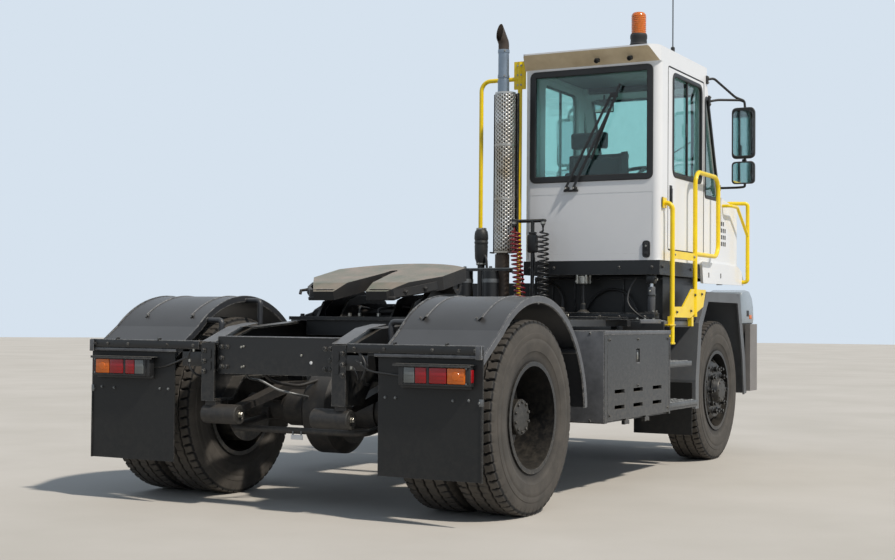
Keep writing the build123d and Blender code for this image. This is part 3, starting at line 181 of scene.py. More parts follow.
# %% [markdown]
# Most surfaces of a working tractor are a coat over something: paint on steel, dust on
# rubber, grease on a plate. They share one recipe. A base colour drifts slowly towards a second
# tone, as paint does over a panel. Dust settles where the surface looks up, and mud is thrown
# up from the ground. Along sharp edges the coat is rubbed through to what lies under it: the
# Bevel node sees an edge, because the rounded normal there differs from the true one. A fine
# grain gives the gloss and the bump their life.

# %% The shared recipe
PAINT_IOR = 1.5


def coat(name, base, second, rough=0.5, metal=0.0, drift=400, grain=3.0, bump=0.15,
         depth=0.3, edge=None, edge_mm=3.0, dust="#8C857A", settle=0.3, thrown=0.0,
         splash=900, gloss_coat=0.0, spread=0.08):
    """A weathered coat. Sizes are in millimetres, colours are sRGB, amounts run from 0 to 1."""
    material, tree, shader, place = new_material(name)
    broad = noise(tree, place, drift, 4.0, 0.6)
    fine = noise(tree, place, grain, 3.0, 0.55)
    shade = blended(tree, ranged(tree, broad, 0.35, 0.65), linear(base), linear(second))
    shape = put(tree, "ShaderNodeNewGeometry")
    if settle > 0:
        facing = put(tree, "ShaderNodeSeparateXYZ", {"Vector": shape.outputs["Normal"]})
        flat = ranged(tree, facing.outputs["Z"], 0.3, 1.0, to_high=settle)
        film = reckoned(tree, reckoned(tree, flat, fine), 1.6)
        shade = blended(tree, film, shade, linear(dust))
    if thrown > 0:
        height = put(tree, "ShaderNodeSeparateXYZ", {"Vector": shape.outputs["Position"]})
        low = ranged(tree, height.outputs["Z"], splash / 1000, 0.15, to_high=thrown)
        spots = ranged(tree, noise(tree, place, 35, 6.0, 0.7), 0.42, 0.66)
        shade = blended(tree, reckoned(tree, low, spots), shade, linear(dust))
    if edge:
        rounder = put(tree, "ShaderNodeBevel", {"Radius": edge_mm / 1000}, samples=4)
        meet = put(tree, "ShaderNodeVectorMath", {
            0: rounder.outputs["Normal"], 1: shape.outputs["Normal"]}, operation="DOT_PRODUCT")
        sharp = ranged(tree, meet.outputs["Value"], 0.985, 0.90)
        nicks = ranged(tree, noise(tree, place, 28, 5.0, 0.75), 0.40, 0.62)
        shade = blended(tree, reckoned(tree, sharp, nicks), shade, linear(edge))
    tree.links.new(shade, shader.inputs["Base Color"])
    gloss = ranged(tree, fine, 0.3, 0.7, max(rough - spread, 0.02), min(rough + spread, 1.0))
    tree.links.new(gloss, shader.inputs["Roughness"])
    if bump > 0:
        relief = put(tree, "ShaderNodeBump", {
            "Height": fine, "Strength": bump, "Distance": depth / 1000})
        tree.links.new(relief.outputs["Normal"], shader.inputs["Normal"])
    shader.inputs["Metallic"].default_value = metal
    shader.inputs["Coat Weight"].default_value = gloss_coat
    if metal < 0.5:
        shader.inputs["IOR"].default_value = PAINT_IOR
    return material


print("recipe ready")

# %% [markdown]
# The two air hoses are nylon, wound into a coil so that they stretch to a trailer and spring
# back. Parked, each hangs from a union on the hose stand and goes back into a second union
# below. The whole hose is one spline: straight out of the gland, round and round, and straight
# into the lower one. The turns follow a plain route between the unions, with sixteen points a
# turn, and they open a little towards the bottom, because the hose hangs in its own weight.

# %% Coiled hoses
POINTS_PER_TURN = 16
STRAIGHT_LEAD = 0.035  # metres of straight hose at each union
SAG = 0.022  # how far the turns crowd upwards, as a share of the route


def nurbs(name, stops):
    """A curve with one NURBS spline that starts and ends in its outer points."""
    curve = bpy.data.curves.new(name, "CURVE")
    curve.dimensions = "3D"
    spline = curve.splines.new("NURBS")
    spline.points.add(len(stops) - 1)
    for point, stop in zip(spline.points, stops):
        point.co = (*stop, 1)
    spline.order_u = 3
    spline.use_endpoint_u = True
    return curve


def air_hose(name, top, bottom, radius, turns, thick):
    """One coiled hose between two unions, as a single NURBS spline."""
    mid = (top + bottom) / 2
    stops = [top, top.lerp(mid, 0.5), mid, mid.lerp(bottom, 0.5), bottom]
    carrier = bpy.data.objects.new(name + "_route", nurbs(name + "_route", stops))
    line = bpy.data.meshes.new_from_object(carrier)
    path = [v.co.copy() for v in line.vertices]
    runs = [0.0]
    for a, b in zip(path, path[1:]):
        runs.append(runs[-1] + (b - a).length)

    def along_path(share):
        """The point at a share of the route's length."""
        goal = share * runs[-1]
        for i in range(len(path) - 1):
            if runs[i + 1] >= goal:
                part = (goal - runs[i]) / max(runs[i + 1] - runs[i], 1e-9)
                return path[i].lerp(path[i + 1], part)
        return path[-1]

    lead = STRAIGHT_LEAD / runs[-1]
    points = [top, along_path(lead * 0.5)]
    count = int(turns * POINTS_PER_TURN)
    for i in range(count + 1):
        share = i / count
        grow = min(1, share * turns * 1.6, (1 - share) * turns * 1.6)
        angle = math.tau * turns * share
        eased = share - SAG * math.sin(math.pi * share)
        middle = along_path(lead + (1 - 2 * lead) * eased)
        points.append(middle + Vector((
            grow * radius * math.cos(angle), grow * radius * math.sin(angle), 0)))
    points += [along_path(1 - lead * 0.5), bottom]
    curve = nurbs(name, points)
    curve.bevel_resolution = curve.resolution_u = 3
    hose = linked(name + "_coil", curve)
    line = bpy.data.meshes.new_from_object(hose)
    curve.bevel_depth = thick / 2
    bpy.data.objects.remove(carrier)
    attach(hose, "chassis")
    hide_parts(name)
    return hose


red_hose = air_hose("red_hose", at(1850, -229, 1681.5), at(1850, -286, 1120.5),
                    0.0365, 17, 0.0115)
black_hose = air_hose("black_hose", at(1900, -424, 1681.5), at(1900, -427, 1120.5),
                      0.0360, 14, 0.0125)

# %% [markdown]
# The floor is a pale, fine concrete, wide enough to run out of the picture on all sides. It
# keeps the tractor's shadow. The studio around it is one even pale sky: the camera, the gloss
# and the glass see its pale tone, and the surfaces are lit by the same sky held a little lower,
# slightly blue, as open shade is. One soft sun stands on the tractor's right, so the cab's side
# is bright and the wall behind the window lies in its own shade, as in the photograph.

# %% Floor, sky and sun
FLOOR_HALF = 60  # metres
SKY_LIGHT, SKY_SHOWN = 0.38, 1.0  # strength as light, and as the camera and the gloss see it
SUN_STRENGTH, SUN_DEGREES, SUN_WAY = 3.2, 3, (0.17, 0.60, -0.78)


def studio_floor():
    """A wide round of pale concrete."""
    mesh = bpy.data.meshes.new("studio_floor")
    mesh.from_pydata([(x, y, 0) for x, y in circle(64, FLOOR_HALF)], [], [list(range(64))])
    floor = linked("studio_floor", mesh)
    mesh.materials.append(coat("pale_concrete", "#C9C5BE", "#BFBBB3", rough=0.85, drift=1800,
                               grain=14, bump=0.12, depth=0.8, settle=0))
    return floor


def sky():
    """An even pale studio sky, held lower for the light that it gives."""
    world = bpy.data.worlds.new("studio_sky")
    bpy.context.scene.world = world
    world.use_nodes = True
    tree = world.node_tree
    tree.nodes.clear()
    ray = put(tree, "ShaderNodeLightPath")
    seen = ray.outputs["Is Camera Ray"]
    for kind in ("Is Glossy Ray", "Is Transmission Ray"):
        seen = reckoned(tree, seen, ray.outputs[kind], "MAXIMUM")
    light, shown = (put(tree, "ShaderNodeBackground", {"Color": linear(tone), "Strength": much})
                    for tone, much in (("#CFE0F5", SKY_LIGHT), ("#D6E2EE", SKY_SHOWN)))
    mixed = put(tree, "ShaderNodeMixShader", {
        0: seen, 1: light.outputs[0], 2: shown.outputs[0]})
    put(tree, "ShaderNodeOutputWorld", {"Surface": mixed.outputs[0]})
    return world


def sun():
    """One soft sun on the tractor's right."""
    light = bpy.data.lights.new("studio_sun", "SUN")
    light.energy = SUN_STRENGTH
    light.angle = math.radians(SUN_DEGREES)
    light.color = linear("#FFF6EA")[:3]
    lamp = linked("studio_sun", light)
    lamp.rotation_mode = "QUATERNION"
    lamp.rotation_quaternion = Vector(SUN_WAY).to_track_quat("-Z", "Y")
    return lamp


studio_floor()
sky()
sun()
bpy.context.scene.view_settings.view_transform = "Standard"
print("studio ready")

# %% [markdown]
# The finishes come next, one for each real one. Painted steel is a dielectric coat, so its
# metallic is 0, and only bare or plated metal has it at 1. Gloss falls with age: port paint is
# satin at best, road dust is fully matt, and only the chrome of a cylinder rod stays bright.

# %% Painted steel
# Chassis enamel, sprayed: charcoal, satin, rubbed to grey primer along its edges
frame_enamel = coat("chassis_enamel_sprayed", "#3B3D3F", "#343638", rough=0.46, drift=700, grain=9,
                    bump=0.10, edge="#8F8E8A", edge_mm=4, settle=0.45, thrown=0.35)
# The same enamel on castings and axles: near black, matt with baked-on dust and oil
casting_enamel = coat("axle_enamel_on_iron", "#1C1D1F", "#292725", rough=0.58, drift=160, grain=5,
                      bump=0.35, depth=0.6, edge="#5E5A55", thrown=0.35, dust="#5F584F")
# The frame itself is blacker than the boxes hung on it, and shinier where hands never reach.
# On the locker's rear faces, which face away from the sun, this black is painted shade.
frame_black_and_painted_shade = coat("frame_enamel_black_and_painted_shade", "#17191B", "#121315", rough=0.42, drift=420, grain=8,
                   bump=0.12, edge="#8F8E8A", edge_mm=4, thrown=0.25)
# The headlamp pods are paler and bluer than the fenders that they stand on
pod_grey = coat("lamp_pod_gelcoat_grey", "#919DA7", "#86929C", rough=0.30, drift=300, bump=0.05,
                edge="#C9CAC8", edge_mm=2, settle=0.12, gloss_coat=0.3)
# Polyester powder coat on the cab's aluminium: white, smooth, a little chalky outdoors
cab_white = coat("cab_powder_coat_white", "#F0F2F4", "#E9ECEF", rough=0.34, drift=900, grain=2.5,
                 bump=0.05, edge="#C9CAC8", edge_mm=2, settle=0.08, gloss_coat=0.25,
                 dust="#BDB8AC", thrown=0.12, splash=1700)
# The visor's underside faces the ground, and its cream tone is painted shade
visor_underside_painted_shade = coat("visor_underside_cream_painted_shade", "#E2D2B4", "#CFBD9C", rough=0.6, drift=180, grain=5,
                    settle=0.0)
# The bumper's own enamel is paler, chalky and scraped where it meets trailers and kerbs
bumper_enamel = coat("bumper_enamel_chalked", "#84817F", "#777472", rough=0.52, drift=260, grain=5,
                     edge="#B0ADA9", edge_mm=5, thrown=0.3)
# Safety yellow powder coat on the handrails: glossy, worn dull where hands and boots meet it
rail_yellow = coat("safety_yellow_powder_coat", "#FFE000", "#F5D000", rough=0.36, drift=140,
                   bump=0.08, edge="#9C8348", settle=0.08, gloss_coat=0.2, dust="#A08F62")
# Rim enamel, dipped: black with a soft shine that the dish picks up
rim_enamel = coat("rim_enamel_black", "#111213", "#18191B", rough=0.38, drift=120, grain=6,
                  bump=0.08, edge="#7F7D79", settle=0.25, thrown=0.45, splash=1000, dust="#5F5A52")
print("painted steel", frame_enamel.name, cab_white.name)

# %% [markdown]
# The mudguards and the cab's trims are moulded polypropylene. New, it is near black with a
# pebbled grain. The sun bleaches it to a warm charcoal and each scuff shows pale, which the worn
# edge colour gives. Rubber holds dust in the same way, but has no gloss under it.

# %% Plastics and rubber
guard_plastic = coat("mudguard_polypropylene_moulded", "#2B2D31", "#34363A", rough=0.40, drift=320,
                     grain=4, bump=0.14, depth=0.4, edge="#A9A8A4", edge_mm=5, settle=0.22,
                     thrown=0.12, dust="#7C766E")
# The outer faces of each guard's lip take this grey, a painted highlight over a black lip, and are
# nicked pale
grey_trim_and_painted_highlight = coat("mudguard_lip_scuffed_and_painted_highlight", "#5C5E62", "#4C4E52", rough=0.42, drift=60,
                 edge="#BDBDBA", edge_mm=4, settle=0.2)
trim_plastic = coat("trim_polypropylene_grained", "#1C1D1F", "#242526", rough=0.55, drift=200,
                    grain=2, bump=0.20, edge="#4A4A4A", settle=0.2)
fender_plastic = coat("fender_glass_fibre_gelcoat", "#62666A", "#585B5F", drift=350, grain=4,
                      bump=0.12, edge="#9A9996", edge_mm=4, settle=0.35, thrown=0.35)
flap_rubber = coat("flap_sheet_rubber", "#08090A", "#0C0D0E", rough=0.66, drift=500,
                   edge="#6C6B68", settle=0.05, thrown=0.10, splash=700, dust="#55514A")
seal_rubber = coat("window_seal_rubber", "#17181A", "#1E1F20", rough=0.48, drift=150, grain=2,
                   bump=0.08, settle=0.15)
print("plastics", guard_plastic.name)

# %% [markdown]
# Bare metals: galvanised steel on the step treads and the small brackets, with the grey bloom
# that zinc takes outdoors; stainless steel round the exhaust, dulled by heat; the mild steel
# pipe inside it, brown with heat scale; and hard chrome on the rods.

# %% Metals
zinc = coat("galvanised_steel_hot_dipped", "#7E8081", "#6B6D6E", rough=0.48, metal=0.85, drift=60,
            grain=7, bump=0.10, settle=0.4, dust="#8A857C")
nut_zinc = coat("zinc_plated_nut", "#A9A8A2", "#8E8C84", rough=0.36, metal=0.9, drift=20,
                bump=0.10, settle=0.2, thrown=0.2, splash=1000)
stainless = coat("stainless_steel_rolled", "#C6C7C6", "#8F8472", rough=0.36, metal=0.9, drift=260,
                 bump=0.10, settle=0.1)
blued_pipe = coat("exhaust_pipe_aluminised", "#8A98A6", "#7B8793", rough=0.42, metal=0.7,
                  drift=120, grain=4, bump=0.12, settle=0.1, edge="#A9AFB5")
scaled_pipe = coat("exhaust_pipe_heat_scaled", "#4A423C", "#5C5148", rough=0.60, metal=0.6,
                   drift=90, grain=4, bump=0.22, settle=0.1, edge="#8F8981")
chrome = coat("hard_chrome_ground", "#C9CACB", "#BFC0C1", rough=0.12, metal=1.0, drift=90, grain=4,
              bump=0.02, settle=0.0, spread=0.04)
hub_iron = coat("hub_cap_cast_iron_painted", "#3E3E3D", "#494846", metal=0.5, drift=70, bump=0.2,
                settle=0.2, thrown=0.2)
# Wheel nuts are phosphated, so they are dark; the pale on their corners is a painted glint
wheel_nut = coat("wheel_nut_phosphated", "#47484A", "#38393B", rough=0.30, metal=0.8, drift=20,
                 bump=0.10, edge="#B4B4B0", settle=0.1, thrown=0.1, splash=1000)
# Silvered glass of the mirrors: a plain bright metal with hardly any roughness
mirror_silver = coat("mirror_glass_silvered", "#C8CED2", "#C2C8CC", rough=0.05, metal=1.0,
                     drift=300, grain=30, bump=0.0, settle=0.0, spread=0.02)
print("metals", zinc.name)

# %% [markdown]
# A tyre's side wall is not one black. Brake dust, sand and ozone turn it a warm grey, and it is
# darker towards the bead. The floors of the tread's grooves are painted near black, as painted
# shade in the recesses, so the crown reads paler. The material reads how far a point is from
# the wheel's centre, because the mesh is built about that centre.

# %% Tyre rubber
def tyre_rubber():
    """Vulcanised rubber: darker at the bead, groove floors painted near black as shade, by
    distance from the wheel's centre.
    """
    material = coat("tyre_rubber_vulcanised", "#403D39", "#4E4A45", rough=0.80, drift=110, grain=5,
                    bump=0.30, depth=0.8, settle=0.0, dust="#8A8174")
    tree, shader, place = parts_of(material)
    under = shader.inputs["Base Color"].links[0].from_socket
    split = put(tree, "ShaderNodeSeparateXYZ", {"Vector": place})
    wheel = put(tree, "ShaderNodeCombineXYZ", {"X": split.outputs["X"], "Z": split.outputs["Z"]})
    reach = put(tree, "ShaderNodeVectorMath", {0: wheel.outputs[0]}, operation="LENGTH")
    reach = reach.outputs["Value"]
    # The floors of the grooves are painted near black: painted shade in the recesses.
    groove, groove_shade_floor = ranged(tree, reach, 0.5175, 0.510), ranged(tree, reach, 0.497, 0.503)
    colour = blended(tree, reckoned(tree, groove, groove_shade_floor), under, linear("#0F0F0F"))
    # Darker towards the bead.
    bead = ranged(tree, reach, 0.345, 0.285)
    colour = blended(tree, bead, colour, linear("#1C1B1A"))
    tree.links.new(colour, shader.inputs["Base Color"])
    return material


rubber = tyre_rubber()
print("rubber", rubber.name)

# %% [markdown]
# Glass, lenses and cloth are their own kinds. The windows are toughened glass with a light green
# tint; a little of the sky shows in their face. The lamp lenses are acrylic, dyed through, over
# a bright reflector, so their colour deepens where the plastic is thick. The seat is a woven
# polyester: its threads are 2 mm apart, drawn at 4 mm, because finer ones don't show here.

# %% Glass, lenses and cloth
def clear_stuff(name, tint, rough, pass_through, ior):
    """A see-through material: glass or acrylic, dyed through, with a trace of dust on it."""
    material, tree, shader, place = new_material(name)
    film = noise(tree, place, 160, 5.0, 0.65)
    dusty = ranged(tree, film, 0.45, 0.75, rough, rough + 0.10)
    tree.links.new(dusty, shader.inputs["Roughness"])
    tone = blended(tree, film, linear(tint),
                   tuple(min(1, c * 1.12) for c in linear(tint)[:3]) + (1,))
    tree.links.new(tone, shader.inputs["Base Color"])
    shader.inputs["Transmission Weight"].default_value = pass_through
    shader.inputs["IOR"].default_value = ior
    return material


window_glass = clear_stuff("window_glass_green_tint", "#C4E6E1", 0.02, 1.0, 1.45)
red_lens = clear_stuff("lens_acrylic_red", "#9A0F18", 0.16, 0.10, 1.49)
amber_lens = clear_stuff("lens_acrylic_amber", "#D86C18", 0.16, 0.10, 1.49)
clear_lens = clear_stuff("lens_acrylic_clear", "#6E7373", 0.14, 0.15, 1.49)
beacon_dome = clear_stuff("beacon_polycarbonate_orange", "#FF8A1E", 0.12, 0.45, 1.58)


def seat_cloth():
    """Woven polyester: two sets of threads over and under each other, with a soft sheen."""
    material = coat("seat_polyester_woven", "#33363A", "#3C3F42", rough=0.85, drift=120, grain=2,
                    bump=0.2, settle=0.1)
    tree, shader, place = parts_of(material)
    threads = [put(tree, "ShaderNodeTexWave", {
        "Vector": place, "Scale": per_mm(4) / math.tau, "Distortion": 0.6},
        bands_direction=way).outputs["Fac"] for way in ("X", "Y", "Z")]
    weave = reckoned(tree, reckoned(tree, threads[0], threads[1]), threads[2], "ADD")
    relief = put(tree, "ShaderNodeBump", {"Height": weave, "Strength": 0.4, "Distance": 0.0006})
    tree.links.new(relief.outputs["Normal"], shader.inputs["Normal"])
    shader.inputs["Sheen Weight"].default_value = 0.3
    return material


cloth = seat_cloth()
nylon_red = coat("air_hose_nylon_red", "#6E0F1B", "#821623", rough=0.34, drift=60, grain=4,
                 bump=0.05, settle=0.1, gloss_coat=0.2)
nylon_black = coat("air_hose_nylon_black", "#141517", "#1C1D1F", rough=0.32, drift=60, grain=4,
                   bump=0.05, settle=0.1, gloss_coat=0.2)
red_hose.data.materials.append(nylon_red)
black_hose.data.materials.append(nylon_black)
# The coupler plate is cast steel under old grease: brown, smeared and half glossy
plate_steel = coat("coupler_plate_greased", "#958270", "#696B57", rough=0.46, metal=0.35,
                   drift=170, grain=8, bump=0.25, depth=0.6, edge="#B5AEA2", edge_mm=4,
                   settle=0.15, dust="#A79E8F")
print("clear stuff", window_glass.name)

# %% [markdown]
# The solid pieces of the frame keep their shapes and take their finish here, node by node.

# %% Finishes of the solid pieces
FINISH_OF = {
    frame_black_and_painted_shade: "frame_rails crossmembers lift_boom cab_mounts hose_gantry air_tanks "
                 "lift_barrels tilt_barrel engine_cover",
    frame_enamel: "battery_box battery_box_door fuel_tank rear_deck side_steps",
    casting_enamel: "rear_axle front_axle leaf_springs engine_block knuckle_left "
                    "knuckle_right tie_rod",
    guard_plastic: "rear_mudguards",
    fender_plastic: "front_fenders",
    bumper_enamel: "bumper",
    flap_rubber: "mud_flaps",
    trim_plastic: "lamps intake_sleeve dashboard mirrors antenna seat",
    rail_yellow: "step_rails guard_hoop front_handrail",
    stainless: "exhaust_stack",
    rubber: "front_left_tyre front_right_tyre rear_left_tyres rear_right_tyres",
    rim_enamel: "front_left_rim front_right_rim rear_left_rims rear_right_rims",
    plate_steel: "fifth_wheel",
    chrome: "lift_rods tilt_rod",
    cab_white: "cab_floor cab_rear_wall cab_sides cab_nose cab_roof cab_skirt left_door "
               "right_door",
    window_glass: "cab_glass",
    beacon_dome: "beacon",
    nylon_red: "red_hose",
    nylon_black: "black_hose",
}
for finish, names in FINISH_OF.items():
    for name in names.split():
        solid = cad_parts[name]
        solid.data.materials.clear()
        solid.data.materials.append(finish)
bare = set(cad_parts) - {n for names in FINISH_OF.values() for n in names.split()}
print("nodes with a finish", len(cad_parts) - len(bare), "without", sorted(bare))

# %% [markdown]
# The small pieces are made in mesh code, all in drawing millimetres. A bench object holds one
# bmesh and knows a few ways of making: a slab with rounded edges, a turned shape, a swept bar, a
# bolt with its washer, a flat plate cut to an outline. Each face remembers its finish, so a lamp
# with four lenses is still one piece. Faces are shaded smooth and only real corners stay sharp.

# %% The bench
class Bench:
    """One piece in the making, in drawing millimetres."""

    def __init__(self, name, *finishes):
        self.name, self.finishes, self.mesh = name, list(finishes), bmesh.new()
        self.finish = 0

    def use(self, finish):
        """The next faces take this finish."""
        if finish not in self.finishes:
            self.finishes.append(finish)
        self.finish = self.finishes.index(finish)
        return self

    def mark(self, faces):
        """Gives faces the finish in use."""
        for face in faces:
            face.material_index = self.finish
        return faces

    def slab(self, x, y, z, soft=0.0, turn=None, about=None):
        """A box between limits, its edges rounded by soft, turned about a point if asked."""
        made = bmesh.ops.create_cube(self.mesh, size=1)["verts"]
        low = Vector((min(x), min(y), min(z)))
        span = Vector((max(x), max(y), max(z))) - low
        for v in made:
            v.co = low + Vector([span[i] * (v.co[i] + 0.5) for i in range(3)])
        faces = {f for v in made for f in v.link_faces}
        if soft > 0:
            edges = {e for v in made for e in v.link_edges}
            soft = min(soft, min(span) * 0.48)
            cut = bmesh.ops.bevel(self.mesh, geom=list(edges), offset=soft, segments=2,
                                  affect="EDGES", profile=0.5)
            faces = {f for v in cut["verts"] for f in v.link_faces} | set(cut["faces"])
        if turn is not None:
            pivot = Vector(about)
            for v in {v for f in faces for v in f.verts}:
                v.co = pivot + turn @ (v.co - pivot)
        return self.mark(faces)

    def skin(self, rings, closed=False, ends=()):
        """The faces between rings of vertices, and over end rings. One vertex is a pole."""
        faces = []
        for a, b in list(zip(rings, rings[1:])) + ([(rings[-1], rings[0])] if closed else []):
            size = max(len(a), len(b))
            for i in range(size if size > 1 else 0):
                j = (i + 1) % size
                if len(a) == 1:
                    corners = (a[0], b[i], b[j])
                elif len(b) == 1:
                    corners = (a[i], a[j], b[0])
                else:
                    corners = (a[i], a[j], b[j], b[i])
                faces.append(self.mesh.faces.new(corners))
        faces += [self.mesh.faces.new(ring) for ring in ends]
        return self.mark(faces)

    def plate(self, outline, way):
        """A flat plate: an outline of points, thickened along a vector."""
        way = Vector(way)
        near = [self.mesh.verts.new(Vector(p)) for p in outline]
        far = [self.mesh.verts.new(Vector(p) + way) for p in outline]
        return self.skin([far, near], ends=(near, far[::-1]))

    def turned(self, line, middle, axis, steps=32, closed=False):
        """A turned shape: (distance along the axis, radius) points round an axis."""
        axis = Vector(axis).normalized()
        side = axis.orthogonal().normalized()
        other = axis.cross(side)
        rings = []
        for along, radius in line:
            centre = Vector(middle) + axis * along
            if radius <= 0:
                rings.append([self.mesh.verts.new(centre)])
            else:
                rings.append([self.mesh.verts.new(centre + side * radius * c + other * radius * s)
                              for c, s in circle(steps)])
        return self.skin(rings, closed)

    def swept(self, points, section, up=None, closed=False):
        """A section of (side, up) points carried along a line of points."""
        points = [Vector(p) for p in points]
        count = len(points)
        rings = []
        lift = Vector(up).normalized() if up else None
        for i, point in enumerate(points):
            before = points[i - 1] if (i or closed) else None
            after = points[(i + 1) % count] if (i < count - 1 or closed) else None
            ahead_way = (after - point).normalized() if after is not None else None
            back_way = (point - before).normalized() if before is not None else None
            way = ((ahead_way or back_way) + (back_way or ahead_way)).normalized()
            if up is None and lift is None:
                lift = way.orthogonal().normalized()
            side = way.cross(lift).normalized()
            rise = side.cross(way).normalized()
            if up is None:
                lift = rise
            widen = 1.0
            if ahead_way and back_way:
                widen = 1 / max(0.5, math.cos(ahead_way.angle(back_way) / 2))
            rings.append([self.mesh.verts.new(point + side * a * widen + rise * b)
                          for a, b in section])
        return self.skin(rings, closed, () if closed else (rings[0][::-1], rings[-1]))

    def rod(self, points, radius, sides=12, closed=False):
        """A round bar along a line of points."""
        return self.swept(points, circle(sides, radius), closed=closed)

    def pipe(self, points, bend, radius, sides=12):
        """A round pipe that turns its corners in bends."""
        return self.rod(tube_line(points, bend), radius, sides)

    def bolt(self, place, way, across_flats=19, washer=True):
        """A hexagon head on its washer, standing on a face."""
        half, base = across_flats / 2, 0
        if washer:
            base = half * 0.25
            self.turned(oblong(0, base, 0, half * 1.45), place, way, 16)
        self.turned([(base, 0), (base, half * 1.15), (base + half * 0.95, half * 1.15),
                     (base + half * 1.15, half * 0.95), (base + half * 1.15, 0)], place, way, 6)

    def done(self, body, slot, replaces=(), smooth=32, weld=True):
        """The finished piece, on its body, in the frame's metres."""
        if weld:
            bmesh.ops.remove_doubles(self.mesh, verts=self.mesh.verts, dist=0.02)
        data = to_data(self.name, self.mesh, lambda p: at(*p), smooth, self.finishes)
        piece = linked(self.name, data)
        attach(piece, body)
        if replaces:
            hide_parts(*replaces)
        print(self.name, len(data.polygons), "faces on", body)
        return piece


def to_data(name, mesh, place, smooth, finishes):
    """A mesh in its place, shaded smooth, with only real corners sharp."""
    bmesh.ops.recalc_face_normals(mesh, faces=mesh.faces)
    for v in mesh.verts:
        v.co = place(v.co)
    for edge in mesh.edges:
        edge.smooth = (len(edge.link_faces) != 2
                       or edge.calc_face_angle(0) < math.radians(smooth))
    for face in mesh.faces:
        face.smooth = True
    data = bpy.data.meshes.new(name)
    mesh.to_mesh(data)
    mesh.free()
    for finish in finishes:
        data.materials.append(finish)
    return data


def oblong(near, far, low, high):
    """A four-cornered section: from near to far one way, from low to high the other."""
    return [(near, low), (near, high), (far, high), (far, low)]


def mirrored_pair(make):
    """Runs a maker for the tractor's left, 1, and its right, -1."""
    return [make(side) for side in (1, -1)]


def arc(centre_x, centre_z, radius, start, end, y, steps):
    """Points on an upright arc, angles in degrees from straight ahead, upwards."""
    turn = [math.radians(start + (end - start) * i / steps) for i in range(steps + 1)]
    return [Vector((centre_x + radius * math.cos(a), y, centre_z + radius * math.sin(a)))
            for a in turn]


BEND_STEPS = 5


def bent(before, corner, after, radius):
    """Points that round off the corner between two others."""
    a, b = before - corner, after - corner
    start = corner + a.normalized() * min(radius, a.length * 0.45)
    end = corner + b.normalized() * min(radius, b.length * 0.45)
    return [start * (1 - t) ** 2 + corner * 2 * t * (1 - t) + end * t * t
            for t in (i / BEND_STEPS for i in range(BEND_STEPS + 1))]


def rounded(corners, radius):
    """A closed line with its corners rounded."""
    points = [Vector(p) for p in corners]
    return [p for i, corner in enumerate(points)
            for p in bent(points[i - 1], corner, points[(i + 1) % len(points)], radius)]


def tube_line(points, radius):
    """An open line with its inner corners rounded, for bent tube."""
    points = [Vector(p) for p in points]
    line = [points[0]]
    for trio in zip(points, points[1:], points[2:]):
        line += bent(*trio, radius)
    return line + [points[-1]]


def facing_x(x, y, z):
    """The corners of an upright oblong that faces along x, from its limits in y and z."""
    return [(x, y[0], z[0]), (x, y[1], z[0]), (x, y[1], z[1]), (x, y[0], z[1])]


def facing_y(x, y, z):
    """The same for one that faces along y, from its limits in x and z."""
    return [(x[0], y, z[0]), (x[1], y, z[0]), (x[1], y, z[1]), (x[0], y, z[1])]


print("bench ready")

# %% [markdown]
# A truck tyre's tread is cut by three zigzag grooves that run round it, and by short slots
# across both shoulders, sixty to a turn. Rather than cutting them out, the whole tyre is one
# grid: its columns follow the section from bead to bead, and its rows go round the wheel. Rows
# and columns that fall in a groove lie deeper. The side walls carry the thin rings that the
# mould leaves. Twin tyres are one piece, because they are bolted to one hub.

# %% Tyres
PITCHES, ROWS_PER_PITCH = 60, 9
TREAD_R, TREAD_DEPTH = 521.0, 13.0
TWIN_Y, TWIN_MIDDLES = 951.5, (-157.5, 157.5)
SIDE_WALL = [  # distance from the tyre's middle, radius: bead, wall rings, shoulder
    (104, 284.5), (113.5, 290), (115.8, 304), (119, 312), (121, 330), (128, 352), (130.5, 354),
    (133, 372), (137.2, 398), (137.4, 415), (136.0, 417), (136.0, 423), (137.0, 425),
    (135.5, 448), (133.0, 450), (132.0, 468), (129.0, 484), (125.0, 496), (122.0, 506),
]
TREAD_LINES = [  # distance from the middle, whether it lies in a groove, zigzag swing
    (116, 0, 0), (104, 0, 0), (92, 0, 0), (80, 0, 0), (69, 0, 3), (66, 1, 3), (58, 1, 3),
    (55, 0, 3), (42, 0, 0), (29, 0, 0), (8, 0, 3), (5, 1, 3), (-5, 1, 3), (-8, 0, 3),
    (-29, 0, 0), (-42, 0, 0), (-55, 0, 3), (-58, 1, 3), (-66, 1, 3), (-69, 0, 3), (-80, 0, 0),
    (-92, 0, 0), (-104, 0, 0), (-116, 0, 0),
]


